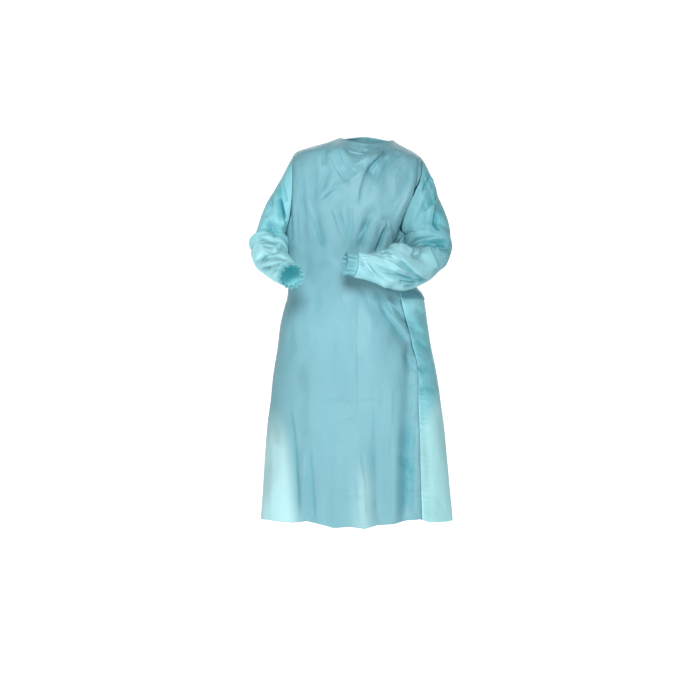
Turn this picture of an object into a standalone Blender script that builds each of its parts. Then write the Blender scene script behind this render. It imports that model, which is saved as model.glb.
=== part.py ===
"""A disposable plastic isolation gown, filled out as it is worn: a hollow film shell with bent sleeves.

The origin is on the midline, level with the neck ends of the shoulder seams, where a wearer's
shoulders carry the gown. +Z is up and the front faces -Y, so the wearer's left side is at +X.
Sizes are in millimetres, angles in degrees. A point of the body is named by its angle round the
gown, 0 at the centre front, +90 at the wearer's left side and 180 at the centre back, and by its
height z.
"""

import math

import bmesh
import bpy
from mathutils import Vector

MM = 0.001
WALL = 1.2          # the film, drawn as thick as a solid can be
SEAM = 0.5          # width of the joint line between two pieces that are sewn together
LAP = 2.8
ON_CLOTH = 0.8      # clear space under a piece that lies on a panel

SHOULDER_Z = -45.0  # outer end of the shoulder seam
UNDERARM_Z = -272.0
WAIST_Z = -446.0    # middle of the waist ties
LEAN = -0.045       # the wearer's left shoulder hangs lower
LEAN_ENDS = 300.0   # height over which that fades out
NECK_DIP = 20.0     # how far the neckline falls at the front
NECK_RISE = 16.0    # and rises at the back
NECK_ENDS = 60.0    # height over which the dip fades out
ARMHOLE_TURN = 23.0  # how far an armhole eats into the front and into the back

# Horizontal sections from the neck to the hem: the middle, how far the cloth stands from it to the
# wearer's right, left, front and back, and how square the outline is (2 is an ellipse).
SECTIONS = (
    # z, middle_x, right, left, front, back, power
    (0, 27, 79, 79, 72, 64, 2.0),
    (-8, 22, 92, 94, 77, 73, 2.0),
    (-20, 17, 120, 122, 86, 88, 2.1),
    (-32, 10, 147, 152, 94, 99, 2.2),
    (-45, 4, 174, 176, 101, 107, 2.4),
    (-62, 2, 187, 187, 108, 112, 2.6),
    (-100, 0, 198, 198, 118, 119, 2.7),
    (-170, 0, 203, 199, 130, 124, 2.7),
    (-240, 0, 202, 167, 133, 118, 2.5),
    (-300, 0, 200, 138, 127, 109, 2.4),
    (-345, 0, 198, 136, 119, 102, 2.3),
    (-400, 0, 196, 156, 117, 96, 2.2),
    (-446, 0, 198, 187, 127, 93, 2.2),
    (-480, 0, 207, 195, 137, 102, 2.2),
    (-530, 0, 219, 202, 146, 120, 2.2),
    (-590, 0, 226, 211, 151, 133, 2.2),
    (-660, 0, 237, 225, 154, 141, 2.2),
    (-745, 0, 245, 237, 157, 147, 2.2),
    (-830, 0, 256, 248, 160, 152, 2.2),
    (-940, 0, 265, 258, 163, 157, 2.2),
    (-1085, 0, 274, 273, 167, 163, 2.2),
)

# The side seams below the underarms and the free edges of the two back panels.
EDGES = (
    # z, left_seam, right_seam, outer_edge, inner_edge
    (20, 90, -90, 187, -185),
    (-45, 90, -90, 190, -188),
    (-120, 88, -90, 191, -189),
    (-272, 66, -90, 194, -190),
    (-345, 56, -92, 195, -191),
    (-446, 49, -95, 196, -192),
    (-548, 54, -97, 196, -192),
    (-645, 57.5, -98, 195, -191),
    (-760, 55.5, -98, 195, -191),
    (-1085, 53.5, -98, 193, -189),
)

# Soft troughs (negative) and ridges of the front, each along a straight line, as seen from the front.
FRONT_FOLDS = (
    # x0, z0, x1, z1, half_width0, half_width1, height0, height1
    (-40, -22, 20, -46, 9, 13, -2, -3),
    (88, -28, 34, -48, 9, 13, -2, -3),
    (26, -64, 14, -92, 14, 12, 4, 1),
    (-46, -24, -14, -92, 13, 16, 5, 3),
    (82, -32, 40, -102, 13, 16, -8, -9),
    (40, -102, 6, -205, 15, 16, -9, -3),
    (114, -50, 74, -130, 14, 22, -7, -3),
    (-88, -30, -98, -160, 16, 22, -7, -3),
    (-30, -145, -104, -200, 13, 17, 5, 3),
    (-126, -60, -128, -165, 14, 20, -5, -3),
    (86, -75, 82, -150, 15, 18, -4, -3),
    (167, -150, 120, -300, 13, 15, -5, -12),
    (-150, -180, -146, -362, 20, 26, -3, -7),
    (-120, -214, -104, -345, 15, 22, -5, -9),
    (-62, -215, -42, -345, 16, 20, -4, -8),
    (-16, -205, -12, -372, 13, 18, -3, -6),
    (40, -220, 6, -330, 15, 19, -8, -13),
    (74, -246, 54, -330, 15, 19, -7, -13),
    (98, -246, 86, -340, 14, 18, -3, -7),
    (24, -440, 100, -565, 18, 24, -5, -5),
    (62, -455, 150, -590, 14, 18, -9, -7),
    (98, -456, 164, -548, 13, 16, -9, -7),
    (-150, -640, -186, -1085, 26, 34, -3, -10),
    (-118, -820, -128, -1085, 18, 20, -2, -7),
    (-86, -900, -84, -1085, 14, 18, -1, -6),
    (4, -860, 14, -1085, 26, 34, 2, 7),
    (58, -800, 64, -1085, 22, 26, -3, -9),
    (98, -700, 98, -1085, 22, 28, 2, 7),
    (146, -610, 132, -1085, 17, 21, -6, -12),
)
BACK_FOLDS = (
    # x0, z0, x1, z1, half_width0, half_width1, height0, height1
    (-110, -60, -60, -170, 22, 28, -5, -3),
    (112, -60, 62, -176, 22, 28, -6, -3),
    (-128, -250, -92, -415, 20, 18, -4, -10),
    (-66, -270, -50, -415, 20, 17, -3, -9),
    (44, -240, 36, -415, 20, 17, -3, -9),
    (92, -260, 72, -415, 20, 17, -4, -10),
    (-86, -478, -120, -720, 18, 26, -10, -4),
    (-42, -478, -62, -690, 17, 24, -9, -3),
    (48, -478, 72, -720, 17, 26, -9, -4),
    (96, -478, 134, -700, 18, 26, -9, -4),
    (-200, -760, -214, -1085, 28, 36, -3, -11),
    (-110, -740, -128, -1085, 30, 38, -3, -12),
    (60, -760, 76, -1085, 30, 36, -3, -12),
    (152, -740, 180, -1085, 30, 38, -3, -12),
)

# Rings down each sleeve, from the upper arm to the gathers at the wrist: the middle, the radius
# towards the outside of the arm, which turns to point down at the forearm, and the one to the front.
SLEEVE_RINGS = {
    "left": (
        # x, y, z, outer, front
        (205, -56, -288, 60, 58),
        (206, -66, -316, 60, 57),
        (200, -86, -345, 51, 54),
        (172, -122, -366, 51, 49),
        (124, -158, -376, 62, 46),
        (86, -177, -377, 55, 43),
        (52, -190, -376, 43, 38),
        (22, -200, -373, 36, 34),
        (-6, -209, -369, 33, 32),
    ),
    "right": (
        # x, y, z, outer, front
        (-245, -26, -286, 43, 50),
        (-248, -40, -304, 50, 52),
        (-247, -62, -324, 53, 52),
        (-243, -88, -341, 49, 50),
        (-232, -126, -356, 43, 48),
        (-214, -170, -373, 41, 43),
        (-197, -212, -388, 37, 37),
        (-185, -242, -397, 34, 34),
    ),
}
ELBOW_RING = 4      # from this ring on, the outside of the arm is its underside
# The way the cap of each sleeve leaves the top of its armhole.
CAP_LEAVES = {"left": (0.72, -0.05, -0.70), "right": (-0.60, -0.05, -0.80)}
CAP_PULL = 0.40     # how long it keeps to that way
CAP_LAND = 0.55     # and how long it keeps to the way of the first ring
CAP_SHARE = 0.36    # the part of a sleeve's length between the armhole and its first ring
CAP_ROOM = 110.0    # a cap shorter than this lies smooth
CAP_GAP = 0.9       # from the armhole's edge to the cap, whose walls meet it at a slant

# Creases (negative) and bulges of the sleeves: how far down, how far round from the outside over
# the front, half sizes both ways, height, and how far down they slip for each degree round.
SLEEVE_FOLDS = {
    "left": (
        # down, round, half_down, half_round, height, slip
        (0.20, 20, 0.035, 60, -5, 0.0010),
        (0.30, 50, 0.030, 60, -6, -0.0012),
        (0.45, 120, 0.022, 70, -9, 0.0004),
        (0.50, 120, 0.022, 60, 6, 0.0),
        (0.55, 20, 0.022, 50, -5, 0.0008),
        (0.62, 100, 0.030, 40, -6, 0.0012),
        (0.70, 60, 0.030, 40, -5, -0.0012),
        (0.71, 180, 0.045, 45, 9, 0.0),
        (0.79, 205, 0.026, 45, -5, 0.0010),
        (0.80, 100, 0.024, 40, -4, 0.0012),
    ),
    "right": (
        # down, round, half_down, half_round, height, slip
        (0.23, 0, 0.085, 65, 11, 0.0),
        (0.18, 70, 0.040, 50, -4, 0.0006),
        (0.34, 100, 0.030, 60, -5, -0.0006),
        (0.405, 20, 0.020, 75, -9, 0.0),
        (0.455, 20, 0.024, 80, 7, 0.0),
        (0.51, 40, 0.018, 65, -5, 0.0006),
        (0.58, 90, 0.024, 60, -5, 0.0010),
        (0.66, 60, 0.026, 55, -5, -0.0010),
        (0.74, 100, 0.026, 60, -4, 0.0),
    ),
}

CUFF_LENGTH = 30.0
CUFF_GAP = 1.1      # from the sleeve's end to the cuff, whose wall leans back towards it
CUFF_PINCH = 4.0    # how far the elastic draws the cuff in
CUFF_WAVES = 13     # gathers that the elastic makes
CUFF_WAVE = 1.8     # their height at the elastic
FRILL_WAVE = 2.6    # and at the free edge
CUFF_RINGS = (0.0, 0.28, 0.6, 1.0)
POINTS_A_WAVE = 4

TIE_WIDTH = 24.0
TIE_WALL = 1.0
TIE_STEPS = 24
TIE_NARROWS = 0.45  # the part of its width that a tie loses where it is drawn into the knot
TIE_NARROWS_OVER = 0.25  # the part of its length over which it does
KNOT_SIZE = (27.0, 12.0, 24.0)
KNOT_LOBES = 5
KNOT_LOBE = 0.06    # height of a lobe, as a part of the knot's radius
TAIL_LENGTHS = {"left": 262.0, "right": 236.0}
TAIL_SPREAD = {"left": 15.0, "right": 19.0}  # degrees from the centre back at the foot of a tail
TAIL_STEPS = 12
TAIL_TOP = 0.42     # width of a tail where it leaves the knot, as a part of a tie's width
TAB_SIZE = (70.0, 26.0)
TAB_MIDDLE = (186.0, -32.0)     # angle and height of the neck tab
TAB_LIFT = 1.0      # clear space under it, where the back curves most

SKIRT_ROWS = (-1085, -1020, -945, -865, -785, -710, -645, -590, -545, -508,
              -480, -460, -446, -430, -406, -376, -346, -318, -294)
SHOULDER_ROWS = (-32, -20, -8, 0)
ARMHOLE_STEPS = 14
FRONT_COLUMNS = 28
BACK_COLUMNS = 14
CAP_STEPS = 8
TUBE_STEPS = 17

FILM_COLOR = (0.262, 0.565, 0.640, 1.0)
TIE_COLOR = (0.235, 0.520, 0.595, 1.0)
FILM_ROUGHNESS = 0.42


def hermite(low, high, leave, arrive, t):
    """A smooth value between two, from their slopes; t runs from 0 to 1."""
    return (
        low * (2 * t**3 - 3 * t**2 + 1)
        + leave * (t**3 - 2 * t**2 + t)
        + high * (3 * t**2 - 2 * t**3)
        + arrive * (t**3 - t**2)
    )


def ease(t):
    """0 to 1 with flat ends."""
    t = min(max(t, 0.0), 1.0)
    return t * t * (3 - 2 * t)


def table_row(table, z):
    """The other columns of a table that runs down from its first row, by a smooth curve at z."""
    z = min(max(z, table[-1][0]), table[0][0])
    i = next(k for k in range(len(table) - 1) if z >= table[k + 1][0])
    above, below = table[i], table[i + 1]
    before, after = table[max(i - 1, 0)], table[min(i + 2, len(table) - 1)]
    span = below[0] - above[0]
    values = []
    for k in range(1, len(above)):
        leave = (below[k] - before[k]) / (below[0] - before[0]) * span
        arrive = (after[k] - above[k]) / (after[0] - above[0]) * span
        values.append(hermite(above[k], below[k], leave, arrive, (z - above[0]) / span))
    return values


def fold_height(folds, x, z):
    """How far the cloth stands out at x and z for a table of straight folds."""
    total = 0.0
    here = Vector((x, z))
    for x0, z0, x1, z1, half_width0, half_width1, height0, height1 in folds:
        start, along = Vector((x0, z0)), Vector((x1 - x0, z1 - z0))
        share = min(max((here - start).dot(along) / along.length_squared, 0.0), 1.0)
        half_width = half_width0 + (half_width1 - half_width0) * share
        off = (here - start - along * share).length / half_width
        total += (height0 + (height1 - height0) * share) * math.exp(-off * off)
    return total


def body_point(angle, z, lift=0.0, folded=True):
    """The cloth's outer face at an angle and a height, moved out by lift."""
    middle_x, right, left, front, back, power = table_row(SECTIONS, z)
    side, ahead = math.sin(math.radians(angle)), math.cos(math.radians(angle))
    half = left if side > 0 else right
    deep = front if ahead > 0 else back
    reach = (abs(side / half) ** power + abs(ahead / deep) ** power) ** (-1 / power)
    across, y = reach * side, -reach * ahead
    x = middle_x + across
    out = Vector((
        math.copysign(abs(across / half) ** (power - 1) / half, across),
        math.copysign(abs(y / deep) ** (power - 1) / deep, y),
        0.0,
    )).normalized()
    if folded:
        lift += fold_height(FRONT_FOLDS if ahead > 0 else BACK_FOLDS, x, z) * ease(abs(out.y) / 0.6)
    neck = (-NECK_DIP if ahead > 0 else NECK_RISE) * ahead * ahead * ease(1 + z / NECK_ENDS)
    lean = LEAN * x * ease(1 + z / LEAN_ENDS)
    return Vector((x, y, z + neck + lean)) + out * lift


def degrees_of(distance, angle, z):
    """How many degrees a distance along the cloth takes up at an angle and a height."""
    half = 0.5
    return distance / (body_point(angle + half, z) - body_point(angle - half, z)).length


def armhole_height(turn):
    """Height of the armhole's edge, with turn 0 at the shoulder and half a turn at the underarm."""
    return (SHOULDER_Z + UNDERARM_Z) / 2 + (SHOULDER_Z - UNDERARM_Z) / 2 * math.cos(turn)


def armhole_point(side, turn):
    """The armhole's edge; turn runs from the shoulder down the front and up the back."""
    z = armhole_height(turn)
    seam = table_row(EDGES, z)[0 if side == "left" else 1]
    return body_point(seam - math.copysign(ARMHOLE_TURN, seam) * math.sin(turn), z)


def body_rows():
    """(height, degrees that the armhole cuts in) for every row of a body panel, hem first."""
    rows = [(z, 0.0) for z in SKIRT_ROWS]
    for step in range(ARMHOLE_STEPS, -1, -1):
        turn = math.pi * step / ARMHOLE_STEPS
        rows.append((armhole_height(turn), ARMHOLE_TURN * math.sin(turn)))
    return rows + [(z, 0.0) for z in SHOULDER_ROWS]


def panel_grid(columns, edges, lift):
    """Rows of points of a panel between the two angles that edges gives, moved out by lift."""
    grid = []
    for z, cut in body_rows():
        start, end = edges(table_row(EDGES, z), cut)
        start += degrees_of(SEAM / 2, start, z)
        end -= degrees_of(SEAM / 2, end, z)
        shares = [column / columns for column in range(columns + 1)]
        grid.append([body_point(start + (end - start) * share, z, lift(share)) for share in shares])
    return grid


def cloth_object(name, grid, closed, finish, wall=WALL):
    """A wall of cloth behind rows of points on its outer face. closed joins the ends of each row."""
    work = bmesh.new()
    rows = [[work.verts.new(point * MM) for point in row] for row in grid]
    width = len(rows[0])
    for low, high in zip(rows, rows[1:]):
        for k in range(width if closed else width - 1):
            after = (k + 1) % width
            work.faces.new((low[k], low[after], high[after], high[k]))
    mesh = bpy.data.meshes.new(name)
    work.to_mesh(mesh)
    work.free()
    mesh.shade_smooth()
    mesh.materials.append(finish)
    made = bpy.data.objects.new(name, mesh)
    solid = made.modifiers.new("wall", "SOLIDIFY")
    solid.thickness = wall * MM
    solid.offset = -1.0
    solid.use_even_offset = True
    solid.use_rim = True
    return made


def film_material(name, color):
    """Plastic film in one colour."""
    material = bpy.data.materials.new(name)
    material.use_nodes = True
    shader = material.node_tree.nodes["Principled BSDF"]
    shader.inputs["Base Color"].default_value = color
    shader.inputs["Roughness"].default_value = FILM_ROUGHNESS
    shader.inputs["Metallic"].default_value = 0.0
    return material


def front_panel(finish):
    """The front, from one side seam and armhole to the other, up to the shoulder seams."""
    def edges(row, cut):
        return row[1] + cut, row[0] - cut

    grid = panel_grid(FRONT_COLUMNS, edges, lambda share: 0.0)
    return cloth_object("front_panel", grid, False, finish)


def outer_back_panel(finish):
    """The back panel of the wearer's left, which covers the edge of the other one."""
    def edges(row, cut):
        return row[0] + cut, row[2]

    grid = panel_grid(BACK_COLUMNS, edges, lambda share: LAP / 2 * ease((share - 0.45) / 0.3))
    return cloth_object("back_panel_left", grid, False, finish)


def inner_back_panel(finish):
    """The back panel of the wearer's right, whose edge lies under the other one."""
    def edges(row, cut):
        return row[3], row[1] - cut

    grid = panel_grid(BACK_COLUMNS, edges, lambda share: -LAP / 2 * ease((0.55 - share) / 0.3))
    return cloth_object("back_panel_right", grid, False, finish)


def ring_frames(side):
    """(middle, outer direction, front direction, outer radius, front radius, axis) of each ring."""
    rings = SLEEVE_RINGS[side]
    sign = 1 if side == "left" else -1
    middles = [Vector(row[:3]) for row in rings]
    frames = []
    for k, (x, y, z, outer, front) in enumerate(rings):
        fall = ease(k / ELBOW_RING)
        hang = Vector((sign * (1 - fall), 0.0, -fall))
        axis = (middles[min(k + 1, len(rings) - 1)] - middles[max(k - 1, 0)]).normalized()
        first = (hang - axis * hang.dot(axis)).normalized()
        frames.append((middles[k], first, axis.cross(first) * sign, outer, front, axis))
    return frames


def ring_point(frame, turn):
    """A point of a ring; turn is 0 on its outer side and a quarter turn at its front."""
    middle, first, second, outer, front, _ = frame
    return middle + first * (outer * math.cos(turn)) + second * (front * math.sin(turn))


def spline_point(points, t):
    """A smooth curve through points, t from 0 to 1."""
    place = t * (len(points) - 1)
    i = min(int(place), len(points) - 2)
    low, high = points[i], points[i + 1]
    before = points[i - 1] if i > 0 else low * 2 - high
    after = points[i + 2] if i + 2 < len(points) else high * 2 - low
    return hermite(low, high, (high - before) / 2, (after - low) / 2, place - i)


def sleeve_base(side, turn, down):
    """A sleeve without its folds; down runs from 0 at the armhole to 1 at the wrist."""
    spine = [ring_point(frame, turn) for frame in ring_frames(side)]
    if down >= CAP_SHARE:
        return spline_point(spine, (down - CAP_SHARE) / (1 - CAP_SHARE))
    sign = 1 if side == "left" else -1
    hole = armhole_point(side, turn)
    inwards = Vector((hole.x, 0.0, armhole_height(math.pi / 2))) - hole
    low = ((1 - math.cos(turn)) / 2) ** 2
    start = hole + inwards.normalized() * SEAM + Vector((sign * (CAP_GAP + SEAM * low), 0.0, 0.0))
    straight = spine[0] - start
    leave = Vector(CAP_LEAVES[side]).normalized() * straight.length * CAP_PULL * (1 - low)
    arrive = (spine[1] - spine[0]).normalized() * straight.length * CAP_LAND
    return hermite(start, spine[0], leave + straight * low, arrive, down / CAP_SHARE)


def sleeve_fold(side, turn, down):
    """How far the folds of a sleeve move its cloth out."""
    total = 0.0
    for fold_down, fold_round, half_down, half_round, height, slip in SLEEVE_FOLDS[side]:
        off_round = (math.degrees(turn) - fold_round + 180) % 360 - 180
        off_down = (down - fold_down - slip * off_round) / half_down
        total += height * math.exp(-off_down**2 - (off_round / half_round) ** 2)
    cap_reach = (ring_point(ring_frames(side)[0], turn) - armhole_point(side, turn)).length
    room = max(ease(cap_reach / CAP_ROOM), ease((down - CAP_SHARE) / 0.08))
    return total * room * ease(down / 0.12) * ease((1 - down) / 0.12)


def sleeve_point(side, turn, down):
    """The outer face of a sleeve with its folds."""
    step = 1e-3
    along = sleeve_base(side, turn, min(down + step, 1.0)) - sleeve_base(side, turn, max(down - step, 0.0))
    around = sleeve_base(side, turn + step, down) - sleeve_base(side, turn - step, down)
    out = around.cross(along).normalized() * (1 if side == "left" else -1)
    return sleeve_base(side, turn, down) + out * sleeve_fold(side, turn, down)


def turned_rings(side, rings):
    """Rings in the order that makes their faces point out."""
    return [ring[::-1] for ring in rings] if side == "right" else rings


def sleeve(side, finish):
    """A long sleeve, from just off the armhole to the gathers at the wrist."""
    downs = [CAP_SHARE * step / CAP_STEPS for step in range(CAP_STEPS)]
    downs += [CAP_SHARE + (1 - CAP_SHARE) * step / TUBE_STEPS for step in range(TUBE_STEPS + 1)]
    count = 2 * ARMHOLE_STEPS
    turns = [2 * math.pi * k / count for k in range(count)]
    rings = [[sleeve_point(side, turn, down) for turn in turns] for down in downs]
    return cloth_object(f"sleeve_{side}", turned_rings(side, rings), True, finish)


def cuff(side, finish):
    """The elastic cuff with its short frill, which carries on from the sleeve's end."""
    middle, first, second, outer, front, axis = ring_frames(side)[-1]
    count = CUFF_WAVES * POINTS_A_WAVE
    rings = []
    for share in CUFF_RINGS:
        wave = CUFF_WAVE * ease(share / CUFF_RINGS[1]) + (FRILL_WAVE - CUFF_WAVE) * share
        pinch = CUFF_PINCH * ease(share / CUFF_RINGS[1]) * (1 - 0.6 * ease((share - 0.5) / 0.5))
        ring = []
        for k in range(count):
            turn = 2 * math.pi * k / count
            grow = wave * math.cos(CUFF_WAVES * turn) - pinch
            ring.append(
                middle + axis * (CUFF_GAP + CUFF_LENGTH * share)
                + first * ((outer + grow) * math.cos(turn))
                + second * ((front + grow) * math.sin(turn))
            )
        rings.append(ring)
    return cloth_object(f"cuff_{side}", turned_rings(side, rings), True, finish)


def strip_object(name, places, finish):
    """A flat strip on the cloth from rows of (angle, height, lift of its inner face)."""
    grid = [
        [body_point(angle, z, lift + TIE_WALL, folded=False) for angle, z, lift in row]
        for row in places
    ]
    return cloth_object(name, grid, False, finish, wall=TIE_WALL)


def lap_lift(angle):
    """How far the outer face of the back is lifted at an angle, where the panels overlap."""
    return LAP / 2 * ease((abs(angle) - 118) / 30)


def knot_half_angle():
    """Degrees between the centre back and the side of the knot."""
    return degrees_of(KNOT_SIZE[0] / 2 + SEAM, 180, WAIST_Z)


def waist_tie(side, finish):
    """A flat tie from the side seam round to the knot at the centre back."""
    seams = table_row(EDGES, WAIST_Z)
    start = seams[0] + 1.0 if side == "left" else seams[1] - 1.0
    end = (180 - knot_half_angle()) * (1 if side == "left" else -1)
    rows = []
    for across in (-0.5, 0.0, 0.5):
        row = []
        for step in range(TIE_STEPS + 1):
            share = step / TIE_STEPS
            drawn_in = ease((share - 1 + TIE_NARROWS_OVER) / TIE_NARROWS_OVER)
            width = TIE_WIDTH * (1 - TIE_NARROWS * drawn_in)
            angle = start + (end - start) * share
            row.append((angle, WAIST_Z + width * across, ON_CLOTH + lap_lift(angle)))
        rows.append(row if side == "left" else row[::-1])
    return strip_object(f"waist_tie_{side}", rows, finish)


def tie_tail(side, finish):
    """The loose end of a tie, which hangs below the knot."""
    sign = 1 if side == "left" else -1
    top = WAIST_Z - KNOT_SIZE[2] / 2 - SEAM
    rows = []
    for step in range(TAIL_STEPS, -1, -1):
        share = step / TAIL_STEPS
        z = top - TAIL_LENGTHS[side] * share
        width = TIE_WIDTH * (TAIL_TOP + (1 - TAIL_TOP) * ease(share / 0.3))
        first = degrees_of(width / 2 + SEAM, 180, z)
        middle = first + (TAIL_SPREAD[side] - first) * share
        half = degrees_of(width / 2, 180, z)
        angles = sorted(sign * (180 - middle) + turn for turn in (-half, half))
        rows.append([(angle, z, ON_CLOTH + lap_lift(180)) for angle in angles])
    return strip_object(f"tie_tail_{side}", rows, finish)


def knot(finish):
    """The waist knot: a small flattened ball of gathered film."""
    mesh = bpy.data.meshes.new("waist_knot")
    work = bmesh.new()
    bmesh.ops.create_uvsphere(work, u_segments=14, v_segments=8, radius=0.5)
    for vert in work.verts:
        vert.co *= 1.0 + KNOT_LOBE * math.cos(KNOT_LOBES * math.atan2(vert.co.z, vert.co.x))
        vert.co = Vector([value * size * MM for value, size in zip(vert.co, KNOT_SIZE)])
    work.to_mesh(mesh)
    work.free()
    mesh.shade_smooth()
    mesh.materials.append(finish)
    made = bpy.data.objects.new("waist_knot", mesh)
    made.location = body_point(180, WAIST_Z, lap_lift(180) + ON_CLOTH + KNOT_SIZE[1] / 2) * MM
    return made


def neck_tab(finish):
    """The tab that holds the two back panels together below the neckline."""
    angle, z = TAB_MIDDLE
    half = degrees_of(TAB_SIZE[0] / 2, angle, z)
    angles = [angle + half * step / 4 for step in range(-4, 5)]
    rows = []
    for across in (-0.5, -0.15, 0.15, 0.5):
        height = z + TAB_SIZE[1] * across
        rows.append([(turn, height, TAB_LIFT + LAP / 2) for turn in angles])
    return strip_object("neck_tab", rows, finish)


def start_scene():
    """Clears the scene and gives the collection that holds the gown."""
    for old in list(bpy.data.objects):
        bpy.data.objects.remove(old)
    group = bpy.data.collections.new("disposable_gown")
    bpy.context.scene.collection.children.link(group)
    return group


def main():
    """Builds every piece of the gown."""
    group = start_scene()
    film = film_material("gown_film", FILM_COLOR)
    tie_film = film_material("tie_film", TIE_COLOR)
    pieces = [front_panel(film), outer_back_panel(film), inner_back_panel(film)]
    for side in ("left", "right"):
        pieces += [sleeve(side, film), cuff(side, film)]
        pieces += [waist_tie(side, tie_film), tie_tail(side, tie_film)]
    pieces += [knot(tie_film), neck_tab(tie_film)]
    for piece in pieces:
        group.objects.link(piece)


main()
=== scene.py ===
"""The looks of a disposable plastic isolation gown, filled out as it is worn.

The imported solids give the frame. Every piece of film here is a thin shell on the form of its
solid, worked out from the same sections, rings and folds, with the finer creases, puckers and
gathers of limp film added on top. Sizes are in millimetres and angles in degrees. A point of the
body is named by its angle round the gown, 0 at the centre front, +90 at its left side and 180 at the
centre back, and by its height z. +Z is up, the front faces -Y and the left, as it is worn, is at +X.
"""

import logging
import math
from dataclasses import dataclass, field
from enum import Enum

import bpy
import numpy as np
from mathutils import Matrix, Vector, noise


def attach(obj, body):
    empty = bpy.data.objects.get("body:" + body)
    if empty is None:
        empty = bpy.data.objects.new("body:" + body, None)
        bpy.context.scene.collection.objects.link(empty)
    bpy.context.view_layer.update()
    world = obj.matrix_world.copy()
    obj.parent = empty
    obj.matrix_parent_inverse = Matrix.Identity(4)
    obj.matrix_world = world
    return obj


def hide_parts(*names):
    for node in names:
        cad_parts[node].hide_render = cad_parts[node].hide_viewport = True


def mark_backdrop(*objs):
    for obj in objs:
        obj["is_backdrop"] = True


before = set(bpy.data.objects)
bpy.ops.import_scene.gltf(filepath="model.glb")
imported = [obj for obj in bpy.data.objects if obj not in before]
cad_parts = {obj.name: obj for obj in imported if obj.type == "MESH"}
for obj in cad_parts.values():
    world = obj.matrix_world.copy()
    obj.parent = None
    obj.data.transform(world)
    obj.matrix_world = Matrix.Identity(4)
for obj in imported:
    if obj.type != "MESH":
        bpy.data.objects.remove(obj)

Array = np.ndarray
LOG = logging.getLogger("gown")
MM = 0.001
BODY = "root"
NARROWEST, WIDEST = 0.35, 1.8   # how far the tilt of a crease may change its half width
CREASE_FADES = 0.22             # the part of its length over which each end of a crease fades


class Side(Enum):
    """The gown's two sides, as it is worn, with the way each one lies along X."""

    LEFT = 1
    RIGHT = -1

    @property
    def word(self) -> str:
        """The side's name, as the solids' names end."""
        return self.name.lower()


# Rows of the tables


@dataclass(frozen=True)
class Section:
    """A level section: its middle, its reach each way, and how square it is (2 is an ellipse)."""

    z: float
    middle_x: float
    right: float
    left: float
    front: float
    back: float
    power: float


@dataclass(frozen=True)
class Edge:
    """The angles of the side seams and of the free edges of the back panels at a height."""

    z: float
    left_seam: float
    right_seam: float
    outer_edge: float
    inner_edge: float


@dataclass(frozen=True)
class Fold:
    """A soft straight trough (negative height) or ridge of the body, as seen from the front."""

    x0: float
    z0: float
    x1: float
    z1: float
    half_width0: float
    half_width1: float
    height0: float
    height1: float


@dataclass(frozen=True)
class Ring:
    """A ring of a sleeve: its middle, and its radius to the outside and to the front."""

    x: float
    y: float
    z: float
    outer: float
    front: float


@dataclass(frozen=True)
class SleeveFold:
    """A fold of a sleeve: how far down and round, half sizes both ways, height and slip."""

    down: float
    round: float
    half_down: float
    half_round: float
    height: float
    slip: float


@dataclass(frozen=True)
class Crease:
    """A fine crease along a broken line of (x, z) as seen from the front.

    wide is its half width, high its height (negative for a trough) and edge how flat its sides and
    how sharp its line are, from 0 to 1. tilt makes its left side wide and its right side steep,
    as seen down its path, or the other way round where it is negative.
    """

    path: tuple[tuple[float, float], ...]
    wide: float
    high: float
    edge: float = 0.4
    tilt: float = 0.0


# Smooth curves and fields


def hermite(low: Array, high: Array, leave: Array, arrive: Array, t: Array) -> Array:
    """Returns a smooth value between two, from their slopes, with t from 0 to 1."""
    return (
        low * (2 * t**3 - 3 * t**2 + 1)
        + leave * (t**3 - 2 * t**2 + t)
        + high * (3 * t**2 - 2 * t**3)
        + arrive * (t**3 - t**2)
    )


def ease(t: Array) -> Array:
    """Returns 0 to 1 with flat ends."""
    t = np.clip(t, 0.0, 1.0)
    return t * t * (3 - 2 * t)


def columns(rows: tuple) -> Array:
    """Returns the rows of a table as numbers, one line for each row."""
    return np.array([list(vars(row).values()) for row in rows], dtype=float)


def table_at(table: Array, z: Array) -> Array:
    """Reads a table that runs down from its first row.

    Args:
        table: The rows, with their heights in the first column.
        z: Heights, in any shape.

    Returns:
        The other columns at each height, on a last axis of their own.
    """
    heights = table[:, 0]
    z = np.clip(z, heights[-1], heights[0])
    i = np.clip(np.searchsorted(-heights, -z, side="right") - 1, 0, len(table) - 2)
    last = len(table) - 1
    above, below = table[i], table[i + 1]
    before, after = table[np.maximum(i - 1, 0)], table[np.minimum(i + 2, last)]
    span = (below - above)[..., :1]
    leave = (below - before) / (below - before)[..., :1] * span
    arrive = (after - above) / (after - above)[..., :1] * span
    t = ((z - above[..., 0]) / span[..., 0])[..., None]
    return hermite(above, below, leave, arrive, t)[..., 1:]


def fold_height(folds: Array, x: Array, z: Array) -> Array:
    """Returns how far the soft folds of a table move the cloth out at x and z."""
    total = np.zeros_like(x)
    for x0, z0, x1, z1, half_width0, half_width1, height0, height1 in folds:
        dx, dz = x1 - x0, z1 - z0
        share = np.clip(((x - x0) * dx + (z - z0) * dz) / (dx * dx + dz * dz), 0.0, 1.0)
        half_width = half_width0 + (half_width1 - half_width0) * share
        off = np.hypot(x - x0 - dx * share, z - z0 - dz * share) / half_width
        total += (height0 + (height1 - height0) * share) * np.exp(-off * off)
    return total


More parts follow.
